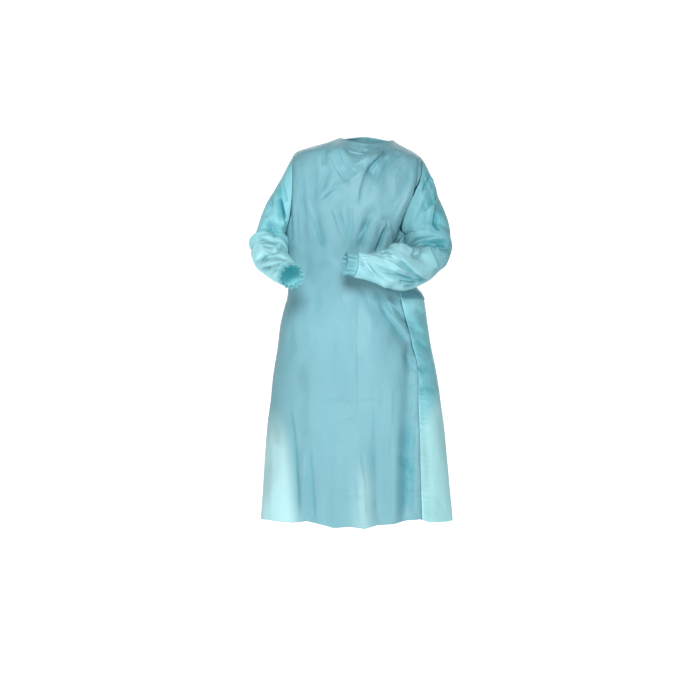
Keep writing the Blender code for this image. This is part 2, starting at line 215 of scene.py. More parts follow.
def crease_field(creases: tuple[Crease, ...], x: Array, z: Array) -> tuple[Array, Array]:
    """Works out the fine creases at x and z.

    Args:
        creases: The creases, in front view.
        x: Places across, in any shape.
        z: Heights, in the same shape.

    Returns:
        How far the creases move the film out, and how much painted shade lies in their troughs.
    """
    total, painted_shade = np.zeros_like(x), np.zeros_like(x)
    for crease in creases:
        path = np.array(crease.path, dtype=float)
        steps = np.hypot(*(path[1:] - path[:-1]).T)
        length = steps.sum()
        nearest = np.full(x.shape, np.inf)
        along = np.zeros_like(x)
        side = np.zeros_like(x)
        run = 0.0
        for (x0, z0), (x1, z1), step in zip(path, path[1:], steps):
            dx, dz = (x1 - x0) / step, (z1 - z0) / step
            share = np.clip((x - x0) * dx + (z - z0) * dz, 0.0, step)
            off_x, off_z = x - x0 - dx * share, z - z0 - dz * share
            off = np.hypot(off_x, off_z)
            closer = off < nearest
            nearest = np.where(closer, off, nearest)
            along = np.where(closer, (run + share) / length, along)
            side = np.where(closer, np.sign(off_x * dz - off_z * dx), side)
            run += step
        off = nearest / (crease.wide * np.clip(1 + crease.tilt * side, NARROWEST, WIDEST))
        soft = np.exp(-off * off)
        sharp = np.clip(1 - off / 1.8, 0.0, 1.0)
        form = soft + (sharp - soft) * crease.edge
        ends = ease(along / CREASE_FADES), ease((1 - along) / CREASE_FADES)
        height = crease.high * form * ends[0] * ends[1]
        total += height
        # Painted shade grows with the depth of a trough.
        painted_shade += np.maximum(-height, 0.0)
    return total, painted_shade


def crinkle(points: Array, stretch: tuple[float, float, float], seed: float) -> Array:
    """Returns smooth noise from -1 to 1 at each point.

    Args:
        points: Points in millimetres, on a last axis of three.
        stretch: The size of the noise's lumps along X, Y and Z, in millimetres.
        seed: Moves the pattern, so that two pieces differ.

    Returns:
        One value for each point.
    """
    flat = (points / np.array(stretch)).reshape(-1, 3)
    values = [noise.noise(Vector((x + seed, y, z))) for x, y, z in flat.tolist()]
    return np.array(values).reshape(points.shape[:-1])


def unit(vectors: Array) -> Array:
    """Returns vectors made one long."""
    return vectors / np.maximum(np.linalg.norm(vectors, axis=-1, keepdims=True), 1e-12)


# The body of the gown


class Body:
    """The shell of the body, as a general figure fills it, and everything that lies on it."""

    SEAM = 0.15             # width of the joint line between two panels
    LAP = 2.8               # how far apart the back panels lie where they overlap
    ON_CLOTH = 0.8          # clear space under a piece that lies on a panel
    SHOULDER_Z = -45.0      # outer end of the shoulder seam
    UNDERARM_Z = -272.0
    WAIST_Z = -446.0        # middle of the waist ties
    HEM_Z = -1085.0
    LEAN = -0.045           # the left shoulder hangs lower
    LEAN_ENDS = 300.0       # height over which that fades out
    NECK_DIP = 20.0         # how far the neckline falls at the front
    NECK_RISE = 16.0        # and rises at the back
    NECK_ENDS = 60.0        # height over which the dip fades out
    ARMHOLE_TURN = 23.0     # how far an armhole eats into the front and the back

    SECTIONS = (
        Section(0, 27, 79, 79, 72, 64, 2.0),
        Section(-8, 22, 92, 94, 77, 73, 2.0),
        Section(-20, 17, 120, 122, 86, 88, 2.1),
        Section(-32, 10, 147, 152, 94, 99, 2.2),
        Section(-45, 4, 174, 176, 101, 107, 2.4),
        Section(-62, 2, 187, 187, 108, 112, 2.6),
        Section(-100, 0, 198, 198, 118, 119, 2.7),
        Section(-170, 0, 203, 199, 130, 124, 2.7),
        Section(-240, 0, 202, 167, 133, 118, 2.5),
        Section(-300, 0, 200, 138, 127, 109, 2.4),
        Section(-345, 0, 198, 136, 119, 102, 2.3),
        Section(-400, 0, 196, 156, 117, 96, 2.2),
        Section(-446, 0, 198, 187, 127, 93, 2.2),
        Section(-480, 0, 207, 195, 137, 102, 2.2),
        Section(-530, 0, 219, 202, 146, 120, 2.2),
        Section(-590, 0, 226, 211, 151, 133, 2.2),
        Section(-660, 0, 237, 225, 154, 141, 2.2),
        Section(-745, 0, 245, 237, 157, 147, 2.2),
        Section(-830, 0, 256, 248, 160, 152, 2.2),
        Section(-940, 0, 265, 258, 163, 157, 2.2),
        Section(-1085, 0, 274, 273, 167, 163, 2.2),
    )
    EDGES = (
        Edge(20, 90, -90, 187, -185),
        Edge(-45, 90, -90, 190, -188),
        Edge(-120, 88, -90, 191, -189),
        Edge(-272, 66, -90, 194, -190),
        Edge(-345, 56, -92, 195, -191),
        Edge(-446, 49, -95, 196, -192),
        Edge(-548, 54, -97, 196, -192),
        Edge(-645, 57.5, -98, 195, -191),
        Edge(-760, 55.5, -98, 195, -191),
        Edge(-1085, 53.5, -98, 193, -189),
    )
    FRONT_FOLDS = (
        Fold(-40, -22, 20, -46, 9, 13, -2, -3),
        Fold(88, -28, 34, -48, 9, 13, -2, -3),
        Fold(26, -64, 14, -92, 14, 12, 4, 1),
        Fold(-46, -24, -14, -92, 13, 16, 5, 3),
        Fold(82, -32, 40, -102, 13, 16, -8, -9),
        Fold(40, -102, 6, -205, 15, 16, -9, -3),
        Fold(114, -50, 74, -130, 14, 22, -7, -3),
        Fold(-88, -30, -98, -160, 16, 22, -7, -3),
        Fold(-30, -145, -104, -200, 13, 17, 5, 3),
        Fold(-126, -60, -128, -165, 14, 20, -5, -3),
        Fold(86, -75, 82, -150, 15, 18, -4, -3),
        Fold(167, -150, 120, -300, 13, 15, -5, -12),
        Fold(-150, -180, -146, -362, 20, 26, -3, -7),
        Fold(-120, -214, -104, -345, 15, 22, -5, -9),
        Fold(-62, -215, -42, -345, 16, 20, -4, -8),
        Fold(-16, -205, -12, -372, 13, 18, -3, -6),
        Fold(40, -220, 6, -330, 15, 19, -8, -13),
        Fold(74, -246, 54, -330, 15, 19, -7, -13),
        Fold(98, -246, 86, -340, 14, 18, -3, -7),
        Fold(24, -440, 100, -565, 18, 24, -5, -5),
        Fold(62, -455, 150, -590, 14, 18, -9, -7),
        Fold(98, -456, 164, -548, 13, 16, -9, -7),
        Fold(-150, -640, -186, -1085, 26, 34, -3, -10),
        Fold(-118, -820, -128, -1085, 18, 20, -2, -7),
        Fold(-86, -900, -84, -1085, 14, 18, -1, -6),
        Fold(4, -860, 14, -1085, 26, 34, 2, 7),
        Fold(58, -800, 64, -1085, 22, 26, -3, -9),
        Fold(98, -700, 98, -1085, 22, 28, 2, 7),
        Fold(146, -610, 132, -1085, 17, 21, -6, -12),
    )
    BACK_FOLDS = (
        Fold(-110, -60, -60, -170, 22, 28, -5, -3),
        Fold(112, -60, 62, -176, 22, 28, -6, -3),
        Fold(-128, -250, -92, -415, 20, 18, -4, -10),
        Fold(-66, -270, -50, -415, 20, 17, -3, -9),
        Fold(44, -240, 36, -415, 20, 17, -3, -9),
        Fold(92, -260, 72, -415, 20, 17, -4, -10),
        Fold(-86, -478, -120, -720, 18, 26, -10, -4),
        Fold(-42, -478, -62, -690, 17, 24, -9, -3),
        Fold(48, -478, 72, -720, 17, 26, -9, -4),
        Fold(96, -478, 134, -700, 18, 26, -9, -4),
        Fold(-200, -760, -214, -1085, 28, 36, -3, -11),
        Fold(-110, -740, -128, -1085, 30, 38, -3, -12),
        Fold(60, -760, 76, -1085, 30, 36, -3, -12),
        Fold(152, -740, 180, -1085, 30, 38, -3, -12),
    )
    # Finer creases of the front, as seen from the front.
    FRONT_CREASES = (
        # Below the neckline, where the front hangs from it in a V.
        Crease(((-39, -33), (-20, -51), (16, -58), (30, -56)), 5, -3.4, 1.0, 0.6),
        Crease(((8, -35), (22, -46), (44, -37), (77, -30)), 4, -3.0, 1.0, 0.5),
        Crease(((-81, -26), (-75, -67), (-64, -96), (-40, -130)), 6, 3.2, 1.0, 0.7),
        Crease(((-53, -30), (-50, -55), (-41, -79), (-15, -102), (10, -112)), 6, -3.6, 1.0, 0.7),
        Crease(((-62, -98), (-31, -138), (13, -100)), 6, -3.0, 1.0, -0.7),
        # The star-shaped pinch at the middle of the chest.
        Crease(((22, -52), (8, -74), (-6, -92)), 4, 3.2, 1.0, 0.5),
        Crease(((30, -62), (14, -76), (-4, -86)), 3, 2.6, 1.0, 0.4),
        # The long fold from the left shoulder to the middle of the chest.
        Crease(((88, -28), (58, -60), (30, -88), (16, -118), (5, -157), (1, -206)), 9, 5.4, 1.0, 0.8),
        Crease(((92, -34), (60, -68), (34, -96), (22, -120)), 6, -5.2, 1.0, -0.5),
        Crease(((84, -52), (62, -78), (44, -102), (26, -126)), 7, 3.8, 1.0, 0.7),
        Crease(((128, -46), (104, -66), (82, -88), (63, -124), (56, -150)), 9, -4.2, 1.0, 0.7),
        Crease(((150, -60), (128, -72), (112, -100), (98, -140)), 10, 2.8, 1.0, 0.6),
        # The band that crosses the chest, with the flat facet above it.
        Crease(((28, -96), (-8, -118), (-36, -142), (-72, -168), (-106, -198)), 9, 4.4, 1.0, 0.7),
        Crease(((-34, -146), (-70, -158), (-104, -182)), 8, -3.6, 1.0, -0.6),
        Crease(((-60, -120), (-84, -152), (-112, -186)), 10, 2.4, 1.0, 0.6),
        # The right shoulder and side.
        Crease(((-82, -32), (-92, -51), (-98, -90)), 5, -4.6, 1.0, -0.6),
        Crease(((-70, -92), (-86, -128), (-98, -160)), 8, -2.4, 1.0, 0.6),
        Crease(((-118, -84), (-116, -150), (-118, -200)), 8, -2.4, 1.0, 0.5),
        Crease(((-152, -110), (-150, -170), (-140, -240)), 10, -2.6, 1.0, 0.6),
        Crease(((-176, -96), (-178, -190), (-176, -310)), 6, 3.0, 1.0, -0.6),
        Crease(((-190, -120), (-188, -200), (-184, -300)), 5, -3.0, 1.0, 0.5),
        # From the chest down to the waist.
        Crease(((-168, -200), (-166, -260), (-164, -322)), 8, -3.4, 1.0, 0.6),
        Crease(((-147, -160), (-117, -249), (-102, -312)), 10, 4.6, 1.0, 0.8),
        Crease(((-128, -230), (-112, -280), (-98, -326)), 8, -4.6, 1.0, -0.5),
        Crease(((-76, -200), (-55, -270), (-34, -330)), 10, 4.2, 1.0, 0.8),
        Crease(((-54, -210), (-40, -250), (-30, -300)), 7, -2.8, 1.0, 0.5),
        Crease(((-26, -196), (-22, -249), (-30, -326)), 5, -3.6, 1.0, 0.5),
        Crease(((-16, -200), (-14, -250), (-16, -280)), 4, 2.6, 1.0, 0.4),
        Crease(((48, -226), (26, -262), (0, -302)), 10, 6.0, 1.0, -0.85),
        Crease(((34, -236), (18, -280), (8, -326)), 7, -7.0, 1.0, 0.4),
        Crease(((56, -232), (78, -250), (58, -292), (44, -328)), 9, 6.0, 1.0, 0.85),
        Crease(((78, -258), (66, -292), (52, -330)), 6, -8.0, 1.0, -0.4),
        Crease(((86, -240), (96, -280), (98, -320)), 9, 3.0, 1.0, 0.7),
        # Where the front tucks in beside the left sleeve.
        Crease(((156, -70), (155, -124), (138, -176), (114, -224), (104, -256)), 7, 4.0, 1.0, -0.5),
        Crease(((148, -86), (146, -120), (124, -168), (92, -206)), 8, -3.4, 1.0, 0.7),
        Crease(((174, -30), (172, -90), (168, -130), (157, -183), (136, -225), (120, -268), (108, -330)),
               5, -9.0, 0.7, -0.5),
        # From the waist tie down over the hip.
        Crease(((40, -424), (74, -458), (104, -506)), 9, -4.4, 1.0, 0.7),
        Crease(((60, -470), (104, -529), (148, -582)), 9, -6.0, 1.0, 0.8),
        Crease(((84, -470), (118, -494), (148, -528), (168, -566)), 7, -5.6, 1.0, 0.8),
        Crease(((100, -444), (132, -474), (156, -508)), 7, -5.4, 1.0, 0.7),
        Crease(((76, -492), (120, -540), (150, -576)), 8, 3.4, 1.0, -0.6),
        Crease(((150, -560), (160, -600), (158, -660)), 8, -3.4, 1.0, 0.6),
        Crease(((134, -604), (150, -640), (168, -668)), 6, -3.0, 1.0, 0.6),
        # Lines where the gown lay folded in its packet.
        Crease(((-4, -432), (-5, -562), (-4, -700), (-2, -800)), 6, 2.2, 1.0, 0.9),
        Crease(((-34, -782), (40, -784)), 4, -1.2, 1.0, 0.5),
        Crease(((-120, -738), (0, -740), (110, -736)), 6, -1.8, 1.0, 0.9),
        Crease(((-54, -1002), (48, -1000)), 5, -2.2, 1.0, 0.5),
        Crease(((-74, -984), (-40, -991), (-6, -985)), 5, 2.2, 1.0, 0.6),
        Crease(((-28, -1012), (20, -1008), (52, -1014)), 5, 2.2, 1.0, -0.6),
        Crease(((-60, -790), (-20, -794), (20, -788)), 5, 1.8, 1.0, 0.6),
        Crease(((-64, -700), (-64, -560)), 5, -1.6, 1.0, 0.8),
        Crease(((40, -740), (42, -862)), 5, 1.4, 1.0, 0.6),
        # The skirt down to the hem.
        Crease(((136, -570), (146, -660), (146, -760), (136, -850), (122, -892)), 14, -3.4, 0.3, 0.5),
        Crease(((150, -790), (140, -880), (138, -960), (134, -1078)), 12, -9.0, 0.7, 0.6),
        Crease(((160, -800), (157, -900), (155, -990), (154, -1078)), 7, -7.0, 1.0, 0.5),
        Crease(((120, -884), (142, -912), (164, -942)), 8, -4.4, 0.7, 0.6),
        Crease(((150, -930), (146, -1000), (150, -1070)), 9, -2.6, 0.6, 0.5),
        Crease(((-190, -740), (-172, -880), (-160, -1078)), 12, -5.0, 0.8, 0.7),
        Crease(((-150, -860), (-144, -1078)), 8, 3.4, 1.0, 0.6),
        Crease(((-132, -860), (-118, -1078)), 10, -4.4, 0.8, 0.6),
        Crease(((50, -850), (56, -1078)), 9, -4.0, 0.8, 0.6),
        Crease(((2, -870), (18, -960), (24, -1078)), 7, 3.0, 1.0, 0.6),
        Crease(((-10, -930), (4, -1078)), 6, -2.4, 1.0, 0.5),
        Crease(((84, -800), (86, -1076)), 10, 3.6, 0.8, 0.6),
        Crease(((96, -700), (92, -820)), 8, 2.4, 1.0, 0.6),
        # Crinkles beside the side seam.
        Crease(((120, -905), (140, -925), (166, -946)), 5, -3.4, 1.0, 0.6),
        Crease(((138, -966), (152, -958), (170, -972)), 4, -3.0, 1.0, 0.5),
        Crease(((126, -1010), (148, -996), (168, -1010)), 4, 2.6, 1.0, 0.5),
        Crease(((150, -700), (160, -716), (167, -722)), 4, -3.0, 1.0, 0.6),
        Crease(((148, -800), (156, -782), (166, -776)), 4, 2.8, 1.0, 0.6),
    )

    # Crumpled film over the left hip, behind the side seam.
    HIP_CREASES = (
        Crease(((164, -480), (186, -500), (206, -496)), 9, -4.0, 1.0, 0.6),
        Crease(((166, -530), (184, -548), (210, -552)), 8, 4.0, 1.0, -0.6),
        Crease(((166, -566), (190, -590), (214, -600)), 8, -4.6, 1.0, 0.6),
        Crease(((170, -618), (184, -632), (212, -622)), 7, 4.2, 1.0, 0.5),
        Crease(((166, -646), (186, -664), (208, -650)), 8, -4.4, 1.0, -0.6),
        Crease(((168, -692), (190, -674), (222, -662)), 7, 4.0, 1.0, 0.6),
        Crease(((168, -716), (196, -704), (226, -716)), 7, -3.8, 1.0, 0.5),
        Crease(((174, -742), (200, -744), (232, -730)), 7, 3.2, 1.0, -0.5),
        Crease(((186, -790), (196, -900), (200, -1010)), 12, -2.4, 0.6, 0.5),
    )

    # Creases of the back, placed as if seen through the front, so that +X is still the left.
    BACK_CREASES = (
        Crease(((-120, -70), (-96, -120), (-60, -170)), 10, -3.6, 1.0, 0.6),
        Crease(((118, -70), (92, -130), (64, -176)), 10, -3.8, 1.0, -0.6),
        Crease(((-150, -110), (-146, -190), (-150, -260)), 9, 2.8, 1.0, 0.6),
        Crease(((150, -120), (146, -200), (138, -280)), 9, -3.0, 1.0, 0.5),
        Crease(((-70, -110), (-40, -150), (-26, -210)), 8, 2.6, 1.0, 0.6),
        Crease(((82, -110), (46, -156), (36, -214)), 8, 2.6, 1.0, -0.6),
        Crease(((-140, -250), (-112, -330), (-96, -425)), 10, -5.0, 1.0, 0.7),
        Crease(((-84, -280), (-66, -350), (-56, -428)), 9, 4.2, 1.0, 0.7),
        Crease(((-30, -300), (-28, -370), (-34, -430)), 8, -3.4, 1.0, 0.5),
        Crease(((36, -270), (40, -350), (34, -430)), 9, -4.2, 1.0, -0.6),
        Crease(((84, -260), (74, -340), (66, -430)), 9, 4.2, 1.0, 0.7),
        Crease(((132, -240), (110, -330), (92, -430)), 10, -4.8, 1.0, -0.7),
        Crease(((-150, -470), (-140, -540), (-150, -640)), 9, -4.4, 1.0, 0.6),
        Crease(((-100, -466), (-112, -560), (-130, -680)), 10, -5.0, 1.0, 0.7),
        Crease(((-62, -470), (-66, -560), (-76, -650)), 9, -3.4, 1.0, -0.6),
        Crease(((-24, -466), (-30, -540), (-36, -620)), 8, -3.4, 1.0, 0.5),
        Crease(((30, -470), (38, -560), (44, -640)), 8, -3.6, 1.0, 0.6),
        Crease(((78, -466), (88, -570), (102, -680)), 10, -4.6, 1.0, -0.7),
        Crease(((120, -470), (136, -560), (150, -660)), 10, 4.4, 1.0, 0.6),
        Crease(((-160, -800), (-172, -940), (-180, -1078)), 13, -5.4, 0.8, 0.6),
        Crease(((-90, -780), (-98, -920), (-104, -1078)), 13, 4.6, 0.8, 0.6),
        Crease(((-30, -840), (-34, -960), (-34, -1078)), 11, -4.2, 0.8, -0.6),
        Crease(((44, -800), (50, -940), (52, -1078)), 12, -4.6, 0.8, 0.6),
        Crease(((110, -760), (124, -920), (134, -1078)), 13, 4.8, 0.8, -0.6),
        Crease(((176, -800), (190, -940), (200, -1078)), 13, -4.8, 0.8, 0.6),
        Crease(((-150, -738), (0, -740), (150, -738)), 6, -1.8, 1.0, 0.8),
    )

    def __init__(self) -> None:
        """Turns the tables into numbers."""
        self.sections = columns(self.SECTIONS)
        self.edges = columns(self.EDGES)
        self.front_folds = columns(self.FRONT_FOLDS)
        self.back_folds = columns(self.BACK_FOLDS)

    def point(self, angle: Array, z: Array, lift: Array | float = 0.0, folded: bool = True) -> Array:
        """Places points on the outer face of the body.

        Args:
            angle: Angles round the gown, in degrees.
            z: Heights, in the same shape.
            lift: How far the points are moved out.
            folded: Whether the soft folds of the cloth count.

        Returns:
            Points in millimetres, on a last axis of three.
        """
        points, out = self.surface(angle, z, folded)
        return points + out * np.asarray(lift)[..., None]

    def surface(self, angle: Array, z: Array, folded: bool = True) -> tuple[Array, Array]:
        """Returns the points at angles and heights, and the level direction out of each."""
        row = table_at(self.sections, z)
        middle_x, right, left, front, back, power = np.moveaxis(row, -1, 0)
        side, ahead = np.sin(np.radians(angle)), np.cos(np.radians(angle))
        half = np.where(side > 0, left, right)
        deep = np.where(ahead > 0, front, back)
        reach = (np.abs(side / half) ** power + np.abs(ahead / deep) ** power) ** (-1 / power)
        across, y = reach * side, -reach * ahead
        x = middle_x + across
        out = unit(np.stack((
            np.copysign(np.abs(across / half) ** (power - 1) / half, across),
            np.copysign(np.abs(y / deep) ** (power - 1) / deep, y),
            np.zeros_like(x),
        ), axis=-1))
        lift = np.zeros_like(x)
        if folded:
            faces = ease(np.abs(out[..., 1]) / 0.6)
            heights = np.where(
                ahead > 0, fold_height(self.front_folds, x, z), fold_height(self.back_folds, x, z)
            )
            lift = heights * faces
        neck = np.where(ahead > 0, -self.NECK_DIP, self.NECK_RISE) * ahead * ahead
        neck = neck * ease(1 + z / self.NECK_ENDS)
        lean = self.LEAN * x * ease(1 + z / self.LEAN_ENDS)
        return np.stack((x, y, z + neck + lean), axis=-1) + out * lift[..., None], out

    def degrees_of(self, distance: float, angle: Array, z: Array) -> Array:
        """Returns how many degrees a distance along the cloth takes up at angles and heights."""
        half = 0.5
        chord = self.point(angle + half, z) - self.point(angle - half, z)
        return distance / np.linalg.norm(chord, axis=-1)

    def armhole_height(self, turn: Array) -> Array:
        """Returns the height of the armhole's edge, at turns that start at the shoulder."""
        middle, half = (self.SHOULDER_Z + self.UNDERARM_Z) / 2, (self.SHOULDER_Z - self.UNDERARM_Z) / 2
        return middle + half * np.cos(turn)

    def armhole_point(self, side: Side, turn: Array) -> Array:
        """Returns points of the armhole's edge; turns run from the shoulder down the front."""
        z = self.armhole_height(turn)
        seam = table_at(self.edges, z)[..., 0 if side is Side.LEFT else 1]
        return self.point(seam - side.value * self.ARMHOLE_TURN * np.sin(turn), z)


class Panel(Enum):
    """The three panels of the body."""

    FRONT = "front_panel"
    BACK_LEFT = "back_panel_left"
    BACK_RIGHT = "back_panel_right"


# Whether the first and the last edge of a panel, as its angles run, is welded to another one.
SEWN_EDGES = {
    Panel.FRONT: (True, True),
    Panel.BACK_LEFT: (True, False),
    Panel.BACK_RIGHT: (False, True),
}


@dataclass(frozen=True)
class Hem:
    """How far the hem rises at a place across, as seen from the front."""

    x: float
    rise: float


# Film


def srgb(code: str) -> tuple[float, float, float, float]:
    """Returns a linear colour for an sRGB hex value."""
    values = [int(code[k:k + 2], 16) / 255 for k in (1, 3, 5)]
    linear = [v / 12.92 if v <= 0.04045 else ((v + 0.055) / 1.055) ** 2.4 for v in values]
    return (*linear, 1.0)


def add_node(
    tree: bpy.types.NodeTree, kind: str, inputs: dict | None = None, **settings: object
) -> bpy.types.Node:
    """Adds a node with its settings, values and links.

    Args:
        tree: The tree that gets the node.
        kind: The node's type name.
        inputs: A value, or the output that is linked, for each input by its name or number.
        **settings: The node's own properties.

    Returns:
        The new node.
    """
    node = tree.nodes.new(kind)
    for key, value in settings.items():
        setattr(node, key, value)
    for key, value in (inputs or {}).items():
        if isinstance(value, bpy.types.NodeSocket):
            tree.links.new(value, node.inputs[key])
        else:
            node.inputs[key].default_value = value
    return node


@dataclass(frozen=True)
class FilmFinish:
    """Blown polyethylene film, tinted in the melt: limp, see-through and softly glossy."""

    name: str
    tint: str
    painted_backlight_tint: str              # painted backlight: its paler tint where light comes through it from behind
    shade_tint: str = "#2f97a6"  # painted shade in pleats, partly standing for film that lies doubled there
    through: float = 0.16       # how much of the light goes through a stretch that is backed
    backlit_through: float = 0.36  # and through one with full painted backlight
    roughness: float = 0.46
    sheen: float = 0.25         # strength of its reflections
    crinkle_mm: float = 22.0    # size of its fine crumples
    crinkle_depth_mm: float = 0.45
    facets_mm: tuple[float, float] = (74.0, 23.0)       # flat facets left by folding and handling
    facet_tilts: tuple[float, float] = (0.13, 0.09)     # how far the facets of each size lean
    cloud_mm: float = 160.0     # uneven thickness from blowing the film

    def material(self) -> bpy.types.Material:
        """Builds the material."""
        made = bpy.data.materials.new(self.name)
        made.use_nodes = True
        tree = made.node_tree
        tree.nodes.clear()
        place = add_node(tree, "ShaderNodeTexCoord").outputs["Object"]
        long = add_node(tree, "ShaderNodeMapping", {"Vector": place, "Scale": (1.0, 1.0, 0.45)})
        # Painted light: a paler tint with the painted backlight, which also raises the translucent share,
        # and a deeper tint with the painted shade.
        painted_backlight = add_node(tree, "ShaderNodeAttribute", attribute_name="painted_backlight").outputs["Fac"]
        painted_shade = add_node(tree, "ShaderNodeAttribute", attribute_name="painted_shade").outputs["Fac"]
        tone = add_node(
            tree, "ShaderNodeMix",
            {0: painted_backlight, 6: srgb(self.tint), 7: srgb(self.painted_backlight_tint)}, data_type="RGBA",
        ).outputs[2]
        tone = add_node(
            tree, "ShaderNodeMix", {0: painted_shade, 6: tone, 7: srgb(self.shade_tint)}, data_type="RGBA"
        ).outputs[2]
        cloud = add_node(
            tree, "ShaderNodeTexNoise",
            {"Vector": long.outputs[0], "Scale": 1 / (self.cloud_mm * MM), "Detail": 3.0},
        ).outputs["Fac"]
        shade = add_node(
            tree, "ShaderNodeMapRange",
            {"Value": cloud, "From Min": 0.3, "From Max": 0.7, "To Min": 0.93, "To Max": 1.05},
        ).outputs[0]
        color = add_node(
            tree, "ShaderNodeVectorMath", {0: tone, 1: shade}, operation="MULTIPLY"
        ).outputs[0]
        fine = add_node(
            tree, "ShaderNodeTexNoise",
            {
                "Vector": long.outputs[0], "Scale": 1 / (self.crinkle_mm * MM), "Detail": 4.0,
                "Roughness": 0.55, "Distortion": 0.6,
            },
        ).outputs["Fac"]
        lean = add_node(tree, "ShaderNodeNewGeometry").outputs["Normal"]
        for size, tilt in zip(self.facets_mm, self.facet_tilts):
            cell = add_node(
                tree, "ShaderNodeTexVoronoi",
                {"Vector": long.outputs[0], "Scale": 1 / (size * MM), "Smoothness": 0.35},
                feature="SMOOTH_F1",
            ).outputs["Color"]
            push = add_node(
                tree, "ShaderNodeVectorMath", {0: cell, 1: (0.5, 0.5, 0.5)}, operation="SUBTRACT"
            ).outputs[0]
            lean = add_node(
                tree, "ShaderNodeVectorMath", {0: push, 1: (2 * tilt,) * 3, 2: lean},
                operation="MULTIPLY_ADD",
            ).outputs[0]
        flat = add_node(tree, "ShaderNodeVectorMath", {0: lean}, operation="NORMALIZE").outputs[0]
        bump = add_node(
            tree, "ShaderNodeBump",
            {"Height": fine, "Strength": 0.8, "Distance": self.crinkle_depth_mm * MM * 4,
             "Normal": flat},
        ).outputs[0]
        gloss = add_node(
            tree, "ShaderNodeBsdfPrincipled",
            {"Base Color": color, "Roughness": self.roughness, "IOR": 1.5,
             "Specular IOR Level": self.sheen, "Normal": bump},
        ).outputs[0]
        glow = add_node(
            tree, "ShaderNodeBsdfTranslucent", {"Color": color, "Normal": bump}
        ).outputs[0]
        passes = add_node(
            tree, "ShaderNodeMapRange",
            {"Value": painted_backlight, "To Min": self.through, "To Max": self.backlit_through},
        ).outputs[0]
        film = add_node(tree, "ShaderNodeMixShader", {0: passes, 1: gloss, 2: glow}).outputs[0]
        add_node(tree, "ShaderNodeOutputMaterial", {"Surface": film})
        return made


# Pieces of film


def film_shell(
    name: str, grid: Array, closed: bool, finish: bpy.types.Material, painted_backlight: Array | None = None,
    painted_shade: Array | None = None, wall: float = 0.5,
) -> bpy.types.Object:
    """Makes a thin wall of film behind rows of points on its outer face.

    Args:
        name: The piece's name.
        grid: Points in millimetres, rows by columns by three.
        closed: Whether the ends of each row are joined.
        finish: The film's material.
        painted_backlight: The share of painted backlight, a paler tint, at each point, from 0 to 1.
        painted_shade: How much painted shade lies there, partly for film doubled in a pleat, from 0 to 1.
        wall: The wall's thickness, in millimetres.

    Returns:
        The new object.
    """
    high, wide = grid.shape[:2]
    index = np.arange(high * wide).reshape(high, wide)
    after = np.roll(index, -1, axis=1)
    if not closed:
        index, after = index[:, :-1], after[:, :-1]
    faces = np.stack((index[:-1], after[:-1], after[1:], index[1:]), axis=-1).reshape(-1, 4)
    mesh = bpy.data.meshes.new(name)
    mesh.from_pydata((grid.reshape(-1, 3) * MM).tolist(), [], faces.tolist())
    mesh.shade_smooth()
    mesh.materials.append(finish)
    # Painted backlight and painted shade, as attributes that the material reads.
    for word, values in (("painted_backlight", painted_backlight), ("painted_shade", painted_shade)):
        values = np.zeros(high * wide) if values is None else np.clip(values, 0.0, 1.0).reshape(-1)
        layer = mesh.attributes.new(word, "FLOAT", "POINT")
        layer.data.foreach_set("value", values.astype(np.float32))
    made = bpy.data.objects.new(name, mesh)
    bpy.context.scene.collection.objects.link(made)
    solid = made.modifiers.new("wall", "SOLIDIFY")
    solid.thickness = wall * MM
    solid.offset = -1.0
    solid.use_even_offset = True
    solid.use_rim = True
    return made


